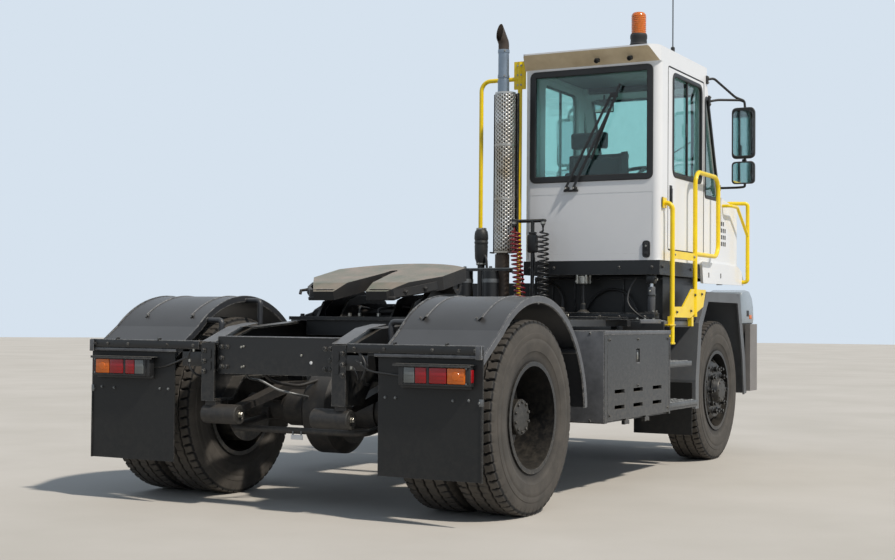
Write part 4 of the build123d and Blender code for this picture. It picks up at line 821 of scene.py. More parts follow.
def tyre_grid(mesh, middle_y):
    """One tyre about the wheel's own centre, in millimetres."""
    columns = [("wall", a, r) for a, r in SIDE_WALL] + \
              [("tread", a, g, s) for a, g, s in TREAD_LINES] + \
              [("wall", -a, r) for a, r in reversed(SIDE_WALL)]
    rows = PITCHES * ROWS_PER_PITCH
    grid = []
    for i in range(rows):
        turn = math.tau * i / rows
        step = i % ROWS_PER_PITCH
        phase = step / ROWS_PER_PITCH
        zigzag = 4 * abs(phase - 0.5) - 1
        line = []
        for column in columns:
            if column[0] == "wall":
                _, away, radius = column
                if radius > 490 and step in (0, 1):
                    away -= math.copysign(5.0 if radius > 500 else 3.0, away)
                    radius -= 3.0
            else:
                _, away, groove, swing = column
                radius = TREAD_R - 4.0 * max(0, (abs(away) - 60) / 56) ** 2
                slot_at = (step - int(abs(away) / 26)) % ROWS_PER_PITCH
                slotted = abs(away) > 75 and slot_at in (6, 7)
                radius -= TREAD_DEPTH if groove or slotted else 0
                if abs(away) < 50 and not groove and step == 4:
                    radius -= 5.0
                away += swing * zigzag
            line.append(mesh.verts.new((radius * math.sin(turn), middle_y + away,
                                        radius * math.cos(turn))))
        grid.append(line)
    for i in range(rows):
        a, b = grid[i], grid[(i + 1) % rows]
        for j in range(len(columns) - 1):
            mesh.faces.new((a[j], a[j + 1], b[j + 1], b[j]))
        mesh.faces.new((a[-1], a[0], b[0], b[-1]))


def tyre_piece(name, x, y, middles, body, node):
    """The tyres of one hub, built about its centre."""
    mesh = bmesh.new()
    for middle in middles:
        tyre_grid(mesh, middle)
    data = to_data(name, mesh, lambda p: p / 1000, 38, [rubber])
    piece = linked(name, data)
    piece.location = at(x, y, AXLE_Z)
    bpy.context.view_layer.update()
    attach(piece, body)
    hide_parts(node)
    print(name, len(data.polygons), "faces")
    return piece


for side in (1, -1):
    tyre_piece(f"tread_front_{hand(side)}", FRONT_AXLE_X, side * 992, [0],
               f"front_{hand(side)}_wheel", f"front_{hand(side)}_tyre")
for side in (1, -1):
    tyre_piece(f"tread_rear_{hand(side)}", 0, side * TWIN_Y, TWIN_MIDDLES,
               f"rear_{hand(side)}_wheels", f"rear_{hand(side)}_tyres")

# %% [markdown]
# Each front wheel is held by ten studs. Their long dark nuts stand clear of the disc and only
# their corners glint. The hub in their middle carries a pressed cap with a ring of small bolts.
# On the twin rear wheels the nuts sit deep inside the dish, and the axle's flange shows as a
# dark cap with its own bolts. A bent valve stem reaches out of each rim.

# %% Wheel nuts, hub caps and valves
NUTS, STUD_R = 10, 165


def wheel_trim(side, front):
    """Nuts, cap and valve of one hub, turned about the wheel's own axis."""
    name = f"hub_trim_{'front' if front else 'rear'}_{hand(side)}"
    body = name.replace("hub_trim_", "") + ("_wheel" if front else "_wheels")
    work = Bench(name, wheel_nut, rim_enamel, hub_iron)
    x, way = (FRONT_AXLE_X if front else 0), (0, side, 0)

    def ring(count, radius, y, first=0.0):
        """Places spread round the hub, from the top."""
        return [(x + dx, side * y, AXLE_Z + dz) for dz, dx in circle(count, radius, first)]

    for spot in ring(NUTS, STUD_R, 1104 if front else 965.5, 0.5):
        work.turned([(0, 0), (0, 26), (5, 26), (7, 22), (7, 0)], spot, way, 20)
        work.turned([(7, 0), (7, 18.5), (33, 18.5), (36, 15), (36, 0)], spot, way, 6)
        work.turned([(36, 0), (36, 10.5), (50, 10.5), (52, 8.5), (52, 0)], spot, way, 12)
    hub = (x, side * (1104 if front else 1160), AXLE_Z)
    if front:
        work.use(rim_enamel)
        work.turned([(0, 112), (6, 118), (12, 116), (12, 100)], hub, way, 48)
        work.use(hub_iron)
        work.turned([(45, 88), (52, 84), (55, 60), (55, 0)], hub, way, 40)
        for spot in ring(8, 76, 1155):
            work.bolt(spot, way, 13)
    else:
        work.use(hub_iron)
        work.turned([(0, 95), (5, 93), (7, 84), (7, 0)], hub, way, 48)
        for spot in ring(10, 80, 1165):
            work.bolt(spot, way, 15)
        work.use(rim_enamel)
        work.turned([(-150, 99), (-150, 120), (-138, 124), (-132, 101)], hub, way, 48)
    work.use(wheel_nut)
    y = side * (1060 if front else 1075)
    work.rod([(x - 238, y, AXLE_Z + 60), (x - 232, y + side * 30, AXLE_Z + 58),
              (x - 214, y + side * 48, AXLE_Z + 52)], 5)
    return work.done(body, "rim_black")


for front in (True, False):
    for side in (1, -1):
        wheel_trim(side, front)

# %% [markdown]
# The rear mudguards are vacuum-formed plastic. Their edge is rolled over a wire; its outer face is
# grey, a painted highlight, with pale nicks. Two stiffening straps run down the back of each guard
# and end in a small foot; their grey is partly a painted highlight along the rib.
# Below it the flap hangs from a steel angle, bolted through, and a thin bar holds the flap's
# outer edge. All of these stand a few millimetres proud of the solids that they are fixed to.

# %% Guard rims, straps and flap fittings
GUARD_X, GUARD_Z, GUARD_R = 19, 496, 669
STRAP_END = 124  # degrees, from straight ahead


def guard_fittings(side):
    """Rolled rim, straps, angle bar and bolts of one rear mudguard."""
    work = Bench(f"guard_fittings_{hand(side)}", guard_plastic)
    for y in (1249, 663):
        for off in (-31, 1.0):
            work.swept(arc(GUARD_X, GUARD_Z, GUARD_R + off, 4, 133, side * y, 44), circle(8, 4.5))
    for y in (1106, 776):
        strap = arc(GUARD_X, GUARD_Z, GUARD_R + 1.2, 60, STRAP_END, side * y, 26)
        # The straps take the grey lip finish: partly a painted highlight along the rib.
        work.use(grey_trim_and_painted_highlight)
        work.swept(strap, [(-4, -2), (-4, 2.6), (-2.5, 4), (2.5, 4), (4, 2.6), (4, -2)])
        work.use(frame_black_and_painted_shade)
        foot = arc(GUARD_X, GUARD_Z, GUARD_R + 2, STRAP_END - 0.5, STRAP_END + 2.4, side * y, 3)
        inward = -side * 26
        work.swept([p + Vector((0, inward * 0.5, 0)) for p in foot],
                   oblong(-34, 8, -1, 4) if side > 0 else oblong(-8, 34, -1, 4))
        work.bolt(foot[-2] + Vector((-3, inward, 3)), (-1, 0, 1.2), 10)
        work.use(guard_plastic)
    work.use(frame_black_and_painted_shade)
    work.slab((-662, -652), (side * 480, side * 1255), (866, 908), 2)
    # The thin grey strip on top of the angle bar is a painted highlight.
    work.use(grey_trim_and_painted_highlight)
    work.slab((-663, -630), (side * 480, side * 1255), (907, 911), 1.5)
    work.slab((-660, -644), (side * 640, side * 1256), (846, 862), 2)
    work.use(frame_black_and_painted_shade)
    for y in (520, 700, 980, 1130, 1220):
        work.bolt((-662, side * y, 886), BACK, 12)
    for y in (760, 1060):
        work.slab((-668, -640), (side * (y - 4), side * (y + 4)), (908, 922), 1)
    # Grey strips on the angle's outer end: a painted highlight.
    work.use(grey_trim_and_painted_highlight)
    work.slab((-670, -650), (side * 1251, side * 1255.5), (842, 908), 1)
    work.slab((-670, -666), (side * 1226, side * 1255.5), (842, 908), 1)
    work.use(flap_rubber)
    work.slab((-649, -632), (side * 1246, side * 1255.5), (236, 640), 2)
    work.use(zinc)
    for y, z in ((1238, 628), (1180, 640), (1090, 636), (760, 640), (700, 640)):
        work.bolt((-645, side * y, z), BACK, 11)
    work.slab((-650, -630), (side * 1238, side * 1255.8), (612, 648), 1)
    return work.done("chassis", "black_plastic")


mirrored_pair(guard_fittings)

# %% [markdown]
# A port tractor's tail lamp is a long box with four windows: indicator outermost, tail and stop
# lamp in red, and a clear reversing lamp nearest the frame. A steel tray shields it from above.
# A headlamp sits in a pale grey moulded pod in front of each fender. The solid lamps are plain,
# so these pieces take their place.

# %% Lamps
def tail_lamp(side):
    """Housing, tray and the four lenses of one tail lamp."""
    work = Bench(f"tail_lamp_{hand(side)}", trim_plastic)
    work.slab((-690, -644), (side * 800, side * 1208), (707, 812), 6)
    for z in (710, 800):
        work.slab((-697, -688), (side * 826, side * 1200), (z, z + 8), 2)
    work.slab((-697, -688), (side * 822, side * 834), (712, 806), 2)
    cells = [(836, 899, clear_lens), (902, 966, red_lens), (982, 1080, red_lens),
             (1084, 1182, amber_lens)]
    for near, far, lens_stuff in cells:
        work.use(lens_stuff)
        work.slab((-700, -686), (side * near, side * far), (720, 799), 5)
        for z in (740, 760, 780):
            work.slab((-701, -699), (side * (near + 4), side * (far - 4)), (z - 1, z + 1))
    work.turned([(0, 22), (2.5, 20), (4, 0)], (-700, side * 1133, 760), BACK, 24)
    work.use(trim_plastic).slab((-698, -688), (side * 967, side * 981), (716, 803), 2)
    work.use(red_lens).slab((-684, -656), (side * 1206, side * 1213), (728, 792), 3)
    work.use(zinc)
    for z in (722, 798):
        work.turned([(0, 0), (0, 5), (2, 5), (3, 3), (3, 0)], (-697, side * 1190, z), BACK, 12)
    work.use(frame_enamel).slab((-706, -644), (side * 776, side * 1216), (812, 817), 1.2)
    work.slab((-706, -702), (side * 776, side * 1216), (804, 817), 1.2)
    work.use(trim_plastic)
    work.slab((-664, -646), (side * 800, side * 1200), (694, 712), 4)
    return work


def head_lamp(work, side):
    """Pale pod, bezel, lens and side markers of one headlamp."""
    work.use(pod_grey)
    outline = [(4050, 1048), (4062, 1020), (4392, 1020), (4400, 1040), (4392, 1150),
               (4352, 1236), (4282, 1284), (4190, 1290), (4070, 1270), (4050, 1240)]
    mid_x, mid_z = 4220, 1155
    rings = [[work.mesh.verts.new((mid_x + (x - mid_x) * (1 - shrink / 200), side * y,
                                   mid_z + (z - mid_z) * (1 - shrink / 140)))
              for x, z in outline]
             for y, shrink in ((870, 26), (876, 8), (890, 0), (1145, 0), (1159, 8), (1165, 26))]
    work.skin(rings, ends=(rings[0], rings[-1][::-1]))
    work.use(clear_lens)
    work.turned([(0, 74), (6, 72), (12, 58), (15, 30), (16, 0)], (4384, side * 1015, 1110),
                (1, 0, 0))
    work.use(trim_plastic)
    work.turned([(-2, 88), (9, 86), (12, 80), (8, 75), (0, 75)],
                (4382, side * 1015, 1110), (1, 0, 0), 36)
    work.slab((4186, 4252), (side * 1160, side * 1168), (1080, 1128), 4)
    work.use(amber_lens).slab((4262, 4330), (side * 1160, side * 1169), (1060, 1092), 4)
    work.use(frame_enamel).slab((4100, 4250), (side * 620, side * 880), (1020, 1056), 4)


def lamp_set(side):
    """One side's tail lamp and headlamp, in place of the solid ones."""
    work = tail_lamp(side)
    head_lamp(work, side)
    return work.done("chassis", "lamp_plastic", replaces=("lamps",))


mirrored_pair(lamp_set)

# %% [markdown]
# The exhaust stands behind the cab: a thick lower pipe, a thin pipe whose mouth is cut on the
# slant and bent outwards, and a perforated stainless shield, so that nobody burns a hand. The
# holes are real ones. The shield is a grid of small squares, each with an eight-sided hole,
# rolled into a tube and given the thickness of sheet. These pieces take the plain stack's place.

# %% Exhaust stack and its perforated shield
STACK_X, STACK_Y = 1900, -118
SHIELD_R, SHIELD_LOW, SHIELD_HIGH = 70, 1502, 2602
SHIELD_Y = -134


def perforated_shield():
    """Sheet with round holes in staggered rows, rolled round the pipe."""
    work = Bench("perforated_shield", stainless)
    columns, rows = 26, 41
    pitch = (SHIELD_HIGH - SHIELD_LOW) / (rows + 0.5)
    seen = {}

    def point(u, v):
        """A point of the flat sheet, in cells, rolled onto the tube."""
        u = u % columns
        key = (round(u, 4), round(v, 4))
        if key not in seen:
            a = math.tau * u / columns
            seen[key] = work.mesh.verts.new((STACK_X + SHIELD_R * math.cos(a),
                                             SHIELD_Y + SHIELD_R * math.sin(a),
                                             SHIELD_LOW + v * pitch))
        return seen[key]

    ring = [(1, 0.5), (1, 1), (0.5, 1), (0, 1), (0, 0.5), (0, 0), (0.5, 0), (1, 0)]
    for column in range(columns):
        low = 0.5 * (column % 2)
        for row in range(rows):
            outer = [point(column + a, row + low + b) for a, b in ring]
            hole = [point(column + 0.5 + 0.33 * c, row + low + 0.5 + 0.29 * s)
                    for c, s in circle(8)]
            work.skin([outer, hole])
    shield = work.done("chassis", "stainless", weld=False, smooth=60)
    sheet = shield.modifiers.new("sheet_thickness", "SOLIDIFY")
    sheet.thickness, sheet.offset = 0.0018, -1
    return shield


def stack_pipes():
    """Lower pipe, inner pipe, slanted mouth, shield bands and the back channel."""
    work = Bench("exhaust_pipes", scaled_pipe)
    x, y = STACK_X, STACK_Y
    bend_z, bend_r, bend_degrees, lean = 2935, 60, 30, 100
    foot = (x, y, 0)
    work.turned([(1043, 58), (1050, 58), (1052, 50), (1486, 50), (1490, 46), (1490, 30)],
                foot, UP, 36)
    work.turned([(1490, 40), (2602, 40), (2604, 38), (2690, 38), (2692, 36), (2694, 33)], foot, UP)
    lift = Vector((-60, 28, 0)).normalized()
    line = [Vector((x, y, z)) for z in (2690, 2760, 2840, 2900, bend_z)]
    for i in range(1, 7):
        a = math.radians(bend_degrees * i / 6)
        line.append(Vector((x, y, bend_z)) + lift * bend_r * (1 - math.cos(a))
                    + Vector(UP) * bend_r * math.sin(a))
    way = (line[-1] - line[-2]).normalized()
    line.append(line[-1] + way * 110)
    mouths = []
    for radius in (37, 34.5):
        rings = []
        for i, p in enumerate(line):
            run = (line[min(i + 1, len(line) - 1)] - line[max(i - 1, 0)]).normalized()
            side = run.cross(lift).normalized()
            rise = side.cross(run).normalized()
            cut = lean if i == len(line) - 1 else 0
            rings.append([work.mesh.verts.new(
                p + side * radius * c + rise * radius * s - run * cut * (0.5 + 0.5 * s))
                for c, s in circle(28)])
        work.skin(rings)
        mouths.append(rings[-1])
    work.skin(mouths)
    work.use(blued_pipe)
    work.turned([(2602, 37), (2604, 40), (2692, 40), (2694, 37.2), (2902, 37.2), (2902, 36)],
                foot, UP)
    for z in (2706, 2880):
        work.turned(oblong(0, 20, 37.5, 40.5), (x, y, z), UP, 28)
        work.use(nut_zinc).bolt((x - 33, y - 24, z + 10), (-1, -0.7, 0), 10)
        work.use(blued_pipe)
    work.use(stainless)
    for z in (1496, 2590):
        work.turned(oblong(0, 14, 40, 71.5), (x, SHIELD_Y, z), UP, 36)
    for z in (1860, 2230):
        work.turned(oblong(0, 16, 70.4, 72), (x, SHIELD_Y, z), UP, 36)
    work.use(frame_black_and_painted_shade)
    for y_near in (-92, 88):
        work.slab((x + 40, x + 66), (y + y_near, y + y_near + 4), (1500, 2604), 1)
    work.slab((x + 62, x + 66), (y - 92, y + 92), (1500, 2604), 1)
    for z in (1600, 2050, 2480):
        work.slab((x + 52, x + 63), (y - 60, y + 60), (z, z + 26), 1.5)
    work.use(trim_plastic)
    for z in range(1540, 1540 + 26 * 41, 41):
        for low in (-90, 86):
            work.slab((x + 38, x + 44), (y + low, y + low + 4), (z, z + 22), 0.8)
    work.use(frame_enamel)
    work.slab((x - 12, x + 40), (y + 80, y + 92), (1496, 1506), 1)
    return work.done("chassis", "stainless", replaces=("exhaust_stack",))


perforated_shield()
stack_pipes()

# %% [markdown]
# The hose stand and the gear around the stack: plated unions and rubber sleeves at each end of
# the hoses, a dark coupling head on the stand's post with the lines that run to it, a plate over
# the air reservoirs, and the reservoirs' straps and valves.

# %% Hose stand and reservoir fittings
def stand_fittings():
    """Unions, coupling head, lines and reservoir straps on the deck behind the cab."""
    work = Bench("deck_fittings", nut_zinc)
    union = [(0, 15.5), (2, 17), (14, 17), (16, 15.5)]
    sleeve = [(0, 9), (2, 10), (24, 7.5), (26, 6)]
    for x, top_y, low_y in ((1850, -229, -286), (1900, -424, -427)):
        work.use(nut_zinc)
        work.turned(union, (x, top_y, 1690), UP, 6)
        work.turned(union, (x, low_y, 1094), UP, 6)
        work.use(seal_rubber)
        work.turned(sleeve, (x, top_y, 1692), (0, 0, -1), 16)
        work.turned(sleeve, (x, low_y, 1110), UP, 16)
    work.use(trim_plastic)
    work.slab((1912, 1958), (-366, -296), (1498, 1622), 12)
    work.slab((1920, 1950), (-356, -306), (1622, 1640), 5)
    work.rod([(1935, -330, 1100), (1935, -336, 1300), (1928, -352, 1420), (1934, -340, 1500)], 6)
    work.rod([(1940, -120, 1372), (1900, -250, 1366), (1880, -282, 1350), (1878, -286, 1150)], 7)
    work.use(zinc)
    work.slab((1745, 1785), (-262, 262), (1382, 1390), 2)
    for y in (-96, 100):
        for z in (1120, 1290):
            work.turned(oblong(z, z + 26, 56.6, 58.6), (1765, y, 0), UP)
        work.bolt((1765, y, 1390), UP, 19)
        work.bolt((1706, y, 1133), BACK, 12)
    work.use(nut_zinc)
    for y in (-150, -126):
        for z in (2690, 2760, 2826):
            work.bolt((2115, y, z), BACK, 11)
    return work.done("chassis", "frame_paint")


stand_fittings()

# %% [markdown]
# The cab's solid floor carries a black steel base frame below a white sill, and each door leaf
# holds its pane. Both solids are sorted here face by face: the frame's faces go black, the
# pane's faces become glass. A real cab also has a rubber seal round every pane, pressed over the
# cut edge of the wall, a few millimetres proud of both.

# %% Panes, base frame and window seals
CAB_REAR_X, CAB_RIGHT_Y, CAB_LEFT_Y = 2095, -1186, -189
SCREEN_OUT = (0.924, 0, 0.383)  # straight out of the windscreen


def drawing(place):
    """Frame metres back to drawing millimetres."""
    return (place - at(0, 0, 0)) * 1000


def sort_faces(node, finish, picked):
    """Gives a node's picked faces a second finish."""
    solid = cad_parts[node]
    solid.data.materials.append(finish)
    slot = len(solid.data.materials) - 1
    count = 0
    for face in solid.data.polygons:
        if picked(drawing(solid.matrix_world @ face.center), face.normal):
            face.material_index = slot
            count += 1
    print(node, count, "faces in", finish.name)


def in_pane(y_low, y_high):
    """Tests for a face of a door's pane, between two depths."""
    return lambda c, n: y_low < c.y < y_high and 2358 < c.x < 2962 and 2041 < c.z < 2722


sort_faces("cab_floor", frame_black_and_painted_shade, lambda c, n: c.z < 1445)
# The roof's downward faces behind the rear wall take the cream painted shade of the visor's
# underside.
sort_faces("cab_roof", visor_underside_painted_shade, lambda c, n: n.z < -0.3 and c.x < CAB_REAR_X)
# The locker's rear faces, turned away from the sun, take the blacker enamel: painted shade.
sort_faces("battery_box", frame_black_and_painted_shade, lambda c, n: n.x < -0.8)
# The guards' outer side faces take the grey lip finish: a painted highlight over black plastic.
sort_faces("rear_mudguards", grey_trim_and_painted_highlight, lambda c, n: abs(n.y) > 0.9 and abs(c.y) > 1255)
sort_faces("fifth_wheel", casting_enamel, lambda c, n: n.z < 0.9)
sort_faces("right_door", window_glass, in_pane(-1167.5, -1159.5))
sort_faces("left_door", window_glass, in_pane(-215.5, -207.5))


def seal(work, corners, radius, normal, half=15, proud=7, depth=4):
    """A seal of soft section round a window, lying on the wall."""
    section = [(-half, -depth), (-half, proud - 3), (-half + 4, proud), (half - 4, proud),
               (half, proud - 3), (half, -depth)]
    work.swept(rounded(corners, radius), section, up=normal, closed=True)


def leaf_seal(work, y, normal):
    """Seal and divider of the window in a door's leaf, whose wall faces normal."""
    seal(work, facing_y((2352, 2968), y, (2035, 2728)), 58, (0, normal, 0), half=14, proud=6,
         depth=12)
    work.slab((2668, 2690), (y - normal * 6, y - normal * 22), (2044, 2720), 3)


def window_seals():
    """Seals, dividers and catches of the windows that belong to the cab body."""
    work = Bench("window_seals", seal_rubber)
    rear = facing_x(CAB_REAR_X, (-1115, -255), (2009, 2741))
    seal(work, rear, 24, BACK, half=22, proud=8, depth=14)
    for y, normal in ((CAB_RIGHT_Y, -1), (CAB_LEFT_Y, 1)):
        quarter = [(3054, y, 1944), (3394, y, 1944), (3120, y, 2662), (3054, y, 2662)]
        seal(work, quarter, 26, (0, normal, 0), half=13, proud=5, depth=12)
        if y == CAB_RIGHT_Y:
            leaf_seal(work, y, normal)
            work.slab((2372, 2948), (y + 8, y + 20), (2040, 2062), 3)
            work.use(trim_plastic).slab((2640, 2664), (y + 2, y + 12), (2330, 2420), 4)
            work.use(seal_rubber)
    screen = [(3390, -1100, 2046), (3390, -275, 2046), (3118, -275, 2704), (3118, -1100, 2704)]
    seal(work, screen, 40, SCREEN_OUT, half=18, proud=5, depth=10)
    for y, normal in ((CAB_RIGHT_Y, -1), (CAB_LEFT_Y, 1)):
        gap = facing_y((2250, 3023), y, (1520, 2768))
        work.swept(rounded(gap, 30), oblong(-3.2, 3.2, -6, 1.2), up=(0, normal, 0), closed=True)
    return work.done("cab", "black_plastic")


def left_door_trim():
    """Seal, divider and handle of the door on the deck side."""
    work = Bench("left_door_trim", seal_rubber)
    y = CAB_LEFT_Y
    leaf_seal(work, y, 1)
    work.use(trim_plastic)
    work.slab((2300, 2420), (y - 1, y + 5), (1905, 1965), 8)
    work.slab((2312, 2408), (y + 4, y + 26), (1922, 1946), 8)
    return work.done("cab_left_door", "black_plastic")


window_seals()
left_door_trim()

# %% [markdown]
# The rear window has a pantograph wiper: two parallel arms on two spindles below the glass, and
# one long blade. The windscreen has a plain one. The wall below the rear window carries a black
# flush latch for the service panel. Under the visor hang two small work lamps. The door's handle
# and latch, the vents in the cab's side and the bolts below it follow, each on its own face.

# %% Wiper, latches and small cab fittings
def cab_fittings():
    """Everything small on the outside of the cab: wipers, lamps, latches and bolts."""
    work = Bench("cab_fittings", trim_plastic)
    x = CAB_REAR_X
    for y in (-517, -574):
        work.turned([(0, 0), (0, 17), (10, 16), (26, 11), (34, 7), (36, 0)],
                    (x, y, 1943), BACK, 20)
        work.use(nut_zinc).bolt((x - 30, y, 1943), BACK, 12, washer=False)
        work.use(trim_plastic)
    work.slab((x - 14, x), (-600, -492), (1920, 1936), 5)
    arms = (((-517, 1943), (-848, 2572)), ((-574, 1943), (-880, 2556)))
    for (y0, z0), (y1, z1) in arms:
        work.swept([(x - 31, y0, z0), (x - 36, (y0 * 3 + y1) / 4, (z0 * 3 + z1) / 4),
                    (x - 32, (y0 + y1) / 2, (z0 + z1) / 2), (x - 24, y1, z1)],
                   oblong(-8, 8, -3, 4), up=BACK)
    work.slab((x - 28, x - 16), (-892, -836), (2548, 2582), 4)
    top, end = Vector((x - 15, -905, 2640)), Vector((x - 15, -700, 2140))
    work.swept([top, (top + end) / 2 + Vector((-7, 0, 0)), end], oblong(-7, 7, -4, 4), up=BACK)
    work.use(seal_rubber)
    work.swept([top + Vector((8, 0, 0)), end + Vector((8, 0, 0))],
               [(-2.5, -5), (-5, 3), (5, 3), (2.5, -5)], up=BACK)
    work.use(trim_plastic)

    def on_screen(y, z, off):
        """A point off the sloped windscreen, which leans back from the cowl."""
        return Vector((3390 - (z - 2046) * 0.4134, y, z)) + off * Vector(SCREEN_OUT)

    work.turned([(0, 0), (0, 18), (8, 17), (22, 11), (28, 0)], on_screen(-700, 2008, 0),
                SCREEN_OUT, 20)
    work.swept([on_screen(-700, 2008, 24), on_screen(-742, 2120, 26), on_screen(-800, 2290, 17)],
               oblong(-5, 5, -2.5, 2.5), up=SCREEN_OUT)
    work.swept([on_screen(-560, 2150, 10), on_screen(-790, 2264, 12),
                on_screen(-1010, 2372, 10)], oblong(-4, 4, -5, 4), up=SCREEN_OUT)
    work.plate(rounded(facing_x(x, (-1119, -1066), (1462, 1576)), 24), (-7, 0, 0))
    work.slab((x - 12, x - 6), (-1106, -1079), (1478, 1500), 3)
    work.slab((x - 11, x - 6), (-1106, -1079), (1518, 1562), 4)
    work.use(nut_zinc).turned([(0, 0), (0, 7), (3, 6), (3, 0)], (x - 11, -1092, 1540), BACK, 14)
    for y in (-764, -1000):
        work.use(trim_plastic)
        work.slab((2008, 2032), (y - 16, y + 16), (2786, 2812), 5)
        work.use(hub_iron)
        work.turned([(0, 8), (0, 15), (12, 17), (16, 14)], (2010, y, 2795), (-1, 0, -0.4), 16)
    work.use(trim_plastic)
    y = CAB_RIGHT_Y
    work.slab((2284, 2330), (y - 5, y + 1), (1800, 1960), 8)
    work.slab((2292, 2318), (y - 13, y - 4), (1820, 1940), 6)
    work.slab((2128, 2160), (y - 8, y), (1800, 1868), 4)
    for cx, cz in ((3084, 1375), (3370, 1377)):
        work.slab((cx - 5, cx + 5), (y - 24, y - 19), (cz - 18, cz + 18), 2)
    work.use(seal_rubber)
    for column in range(3):
        for row in range(4 - (column == 2)):
            work.slab((3438 + column * 44, 3474 + column * 44), (y + 3, y + 11),
                      (1602 + row * 50, 1638 + row * 50), 1)
    work.use(frame_black_and_painted_shade)
    for bx in (2148, 2340, 2740):
        work.bolt((bx, y, 1402), RIGHT, 16)
    for by in (-1130, -900, -420, -240):
        work.bolt((x, by, 1398), BACK, 16)
    return work.done("cab", "black_plastic")


cab_fittings()

# %% [markdown]
# The mirrors hang on a bent tube from two brackets: a main glass above a wide-angle one, both in
# moulded shells that are rounder at the back, with the silvered glass set a little way in. The
# shell is made by drawing several rounded frames one behind the other.

# %% Mirrors
def shell_box(work, middle, half_y, half_z, deep, corner=38):
    """A mirror head: bulging back toward the front, silvered glass toward the rear."""
    cx, cy, cz = middle
    steps = [(0.0, 1.0), (0.06, 1.03), (0.45, 1.0), (0.8, 0.86), (0.97, 0.6), (1.0, 0.3)]

    def frame_at(x, scale):
        """One rounded frame of the shell."""
        corners = facing_x(x, (cy - half_y * scale, cy + half_y * scale),
                           (cz - half_z * scale, cz + half_z * scale))
        return [work.mesh.verts.new(p) for p in rounded(corners, corner * scale)]

    work.use(trim_plastic)
    inner = frame_at(cx + 6, 0.90)
    rings = [inner, frame_at(cx - 1, 0.92)]
    rings += [frame_at(cx + deep * t, s) for t, s in steps]
    work.skin(rings, ends=(rings[-1],))
    work.use(mirror_silver)
    work.plate([v.co + Vector((-1.5, 0, 0)) for v in inner], (4, 0, 0))


def mirror_set(side):
    """Both heads, the tube and its brackets on one side of the cab."""
    work = Bench(f"mirror_set_{hand(side)}", trim_plastic)
    wall = CAB_RIGHT_Y if side < 0 else CAB_LEFT_Y

    def spot(x, reach, z):
        """A place so far out from the cab's wall."""
        return Vector((x, wall + side * reach, z))

    middle = wall + side * 205
    shell_box(work, (3309, middle, 2425), 84, 184, 72)
    shell_box(work, (3309, middle, 2133), 84, 81, 66, 32)
    work.use(trim_plastic)
    work.pipe([spot(3080, 4, 2800), spot(3130, 40, 2812), spot(3300, 150, 2690),
               spot(3345, 205, 2668), spot(3345, 209, 2612)], 22, 9)
    work.pipe([spot(3150, 4, 2650), spot(3200, 50, 2664), spot(3330, 180, 2672),
               spot(3345, 205, 2660)], 22, 9)
    work.rod([spot(3345, 209, 2620), spot(3345, 209, 2208)], 9)
    work.pipe([spot(3345, 209, 2056), spot(3345, 209, 2031), spot(3360, 150, 2029),
               spot(3370, 4, 2031)], 20, 9)
    for x, z, tall in ((3080, 2796, 30), (3132, 2650, 38), (3368, 2031, 24)):
        work.slab((x - 17, x + 17), (wall - side, wall + side * 12), (z - tall, z + tall), 4)
        work.use(nut_zinc)
        for up in (-0.66, 0.66):
            work.bolt(spot(x, 12, z + tall * up), (0, side, 0), 11)
        work.use(trim_plastic)
    for z in (2226, 2606):
        work.slab((3328, 3362), (middle - 14, middle + 14), (z - 9, z + 9), 4)
    return work.done("cab", "black_plastic", replaces=("mirrors",))


mirrored_pair(mirror_set)

# %% [markdown]
# The engine breathes through a moulded rubber boot that stands on a pipe behind the cab. Its two
# bellows folds let the pipe shake without tearing it. It is one turned outline, because a
# moulded boot is round, with a clamp at each end and a drain hose beside it.

# %% Intake boot
def intake_boot():
    """Moulded rubber boot with two bellows folds, clamped on its stand pipe."""
    work = Bench("intake_boot", trim_plastic)
    stem = (2125, 158, 0)
    work.turned([(1424, 26), (1424, 34), (1446, 36), (1474, 45), (1560, 48), (1572, 46),
                 (1584, 50), (1600, 46), (1612, 50), (1640, 49), (1664, 45), (1676, 36),
                 (1689, 34), (1689, 0)], stem, UP, 40)
    work.turned([(1044, 36), (1052, 36), (1056, 26), (1430, 26)], stem, UP, 28)
    work.use(nut_zinc)
    for z, r in ((1430, 34.5), (1678, 35)):
        work.turned(oblong(z, z + 9, r - 1, r + 2), stem, UP, 40)
    work.bolt((2089, 158, 1435), BACK, 9)
    work.use(trim_plastic)
    work.pipe([(2112, 128, 1500), (2100, 104, 1470), (2098, 98, 1380), (2098, 98, 1060)], 30, 9)
    return work.done("chassis", "black_plastic", replaces=("intake_sleeve",))


intake_boot()

# %% [markdown]
# On the roof a rotating beacon stands on a dark rubber foot: a ribbed orange dome over a lamp
# and its reflector, clamped by a ring. The whip antenna has a spring base.

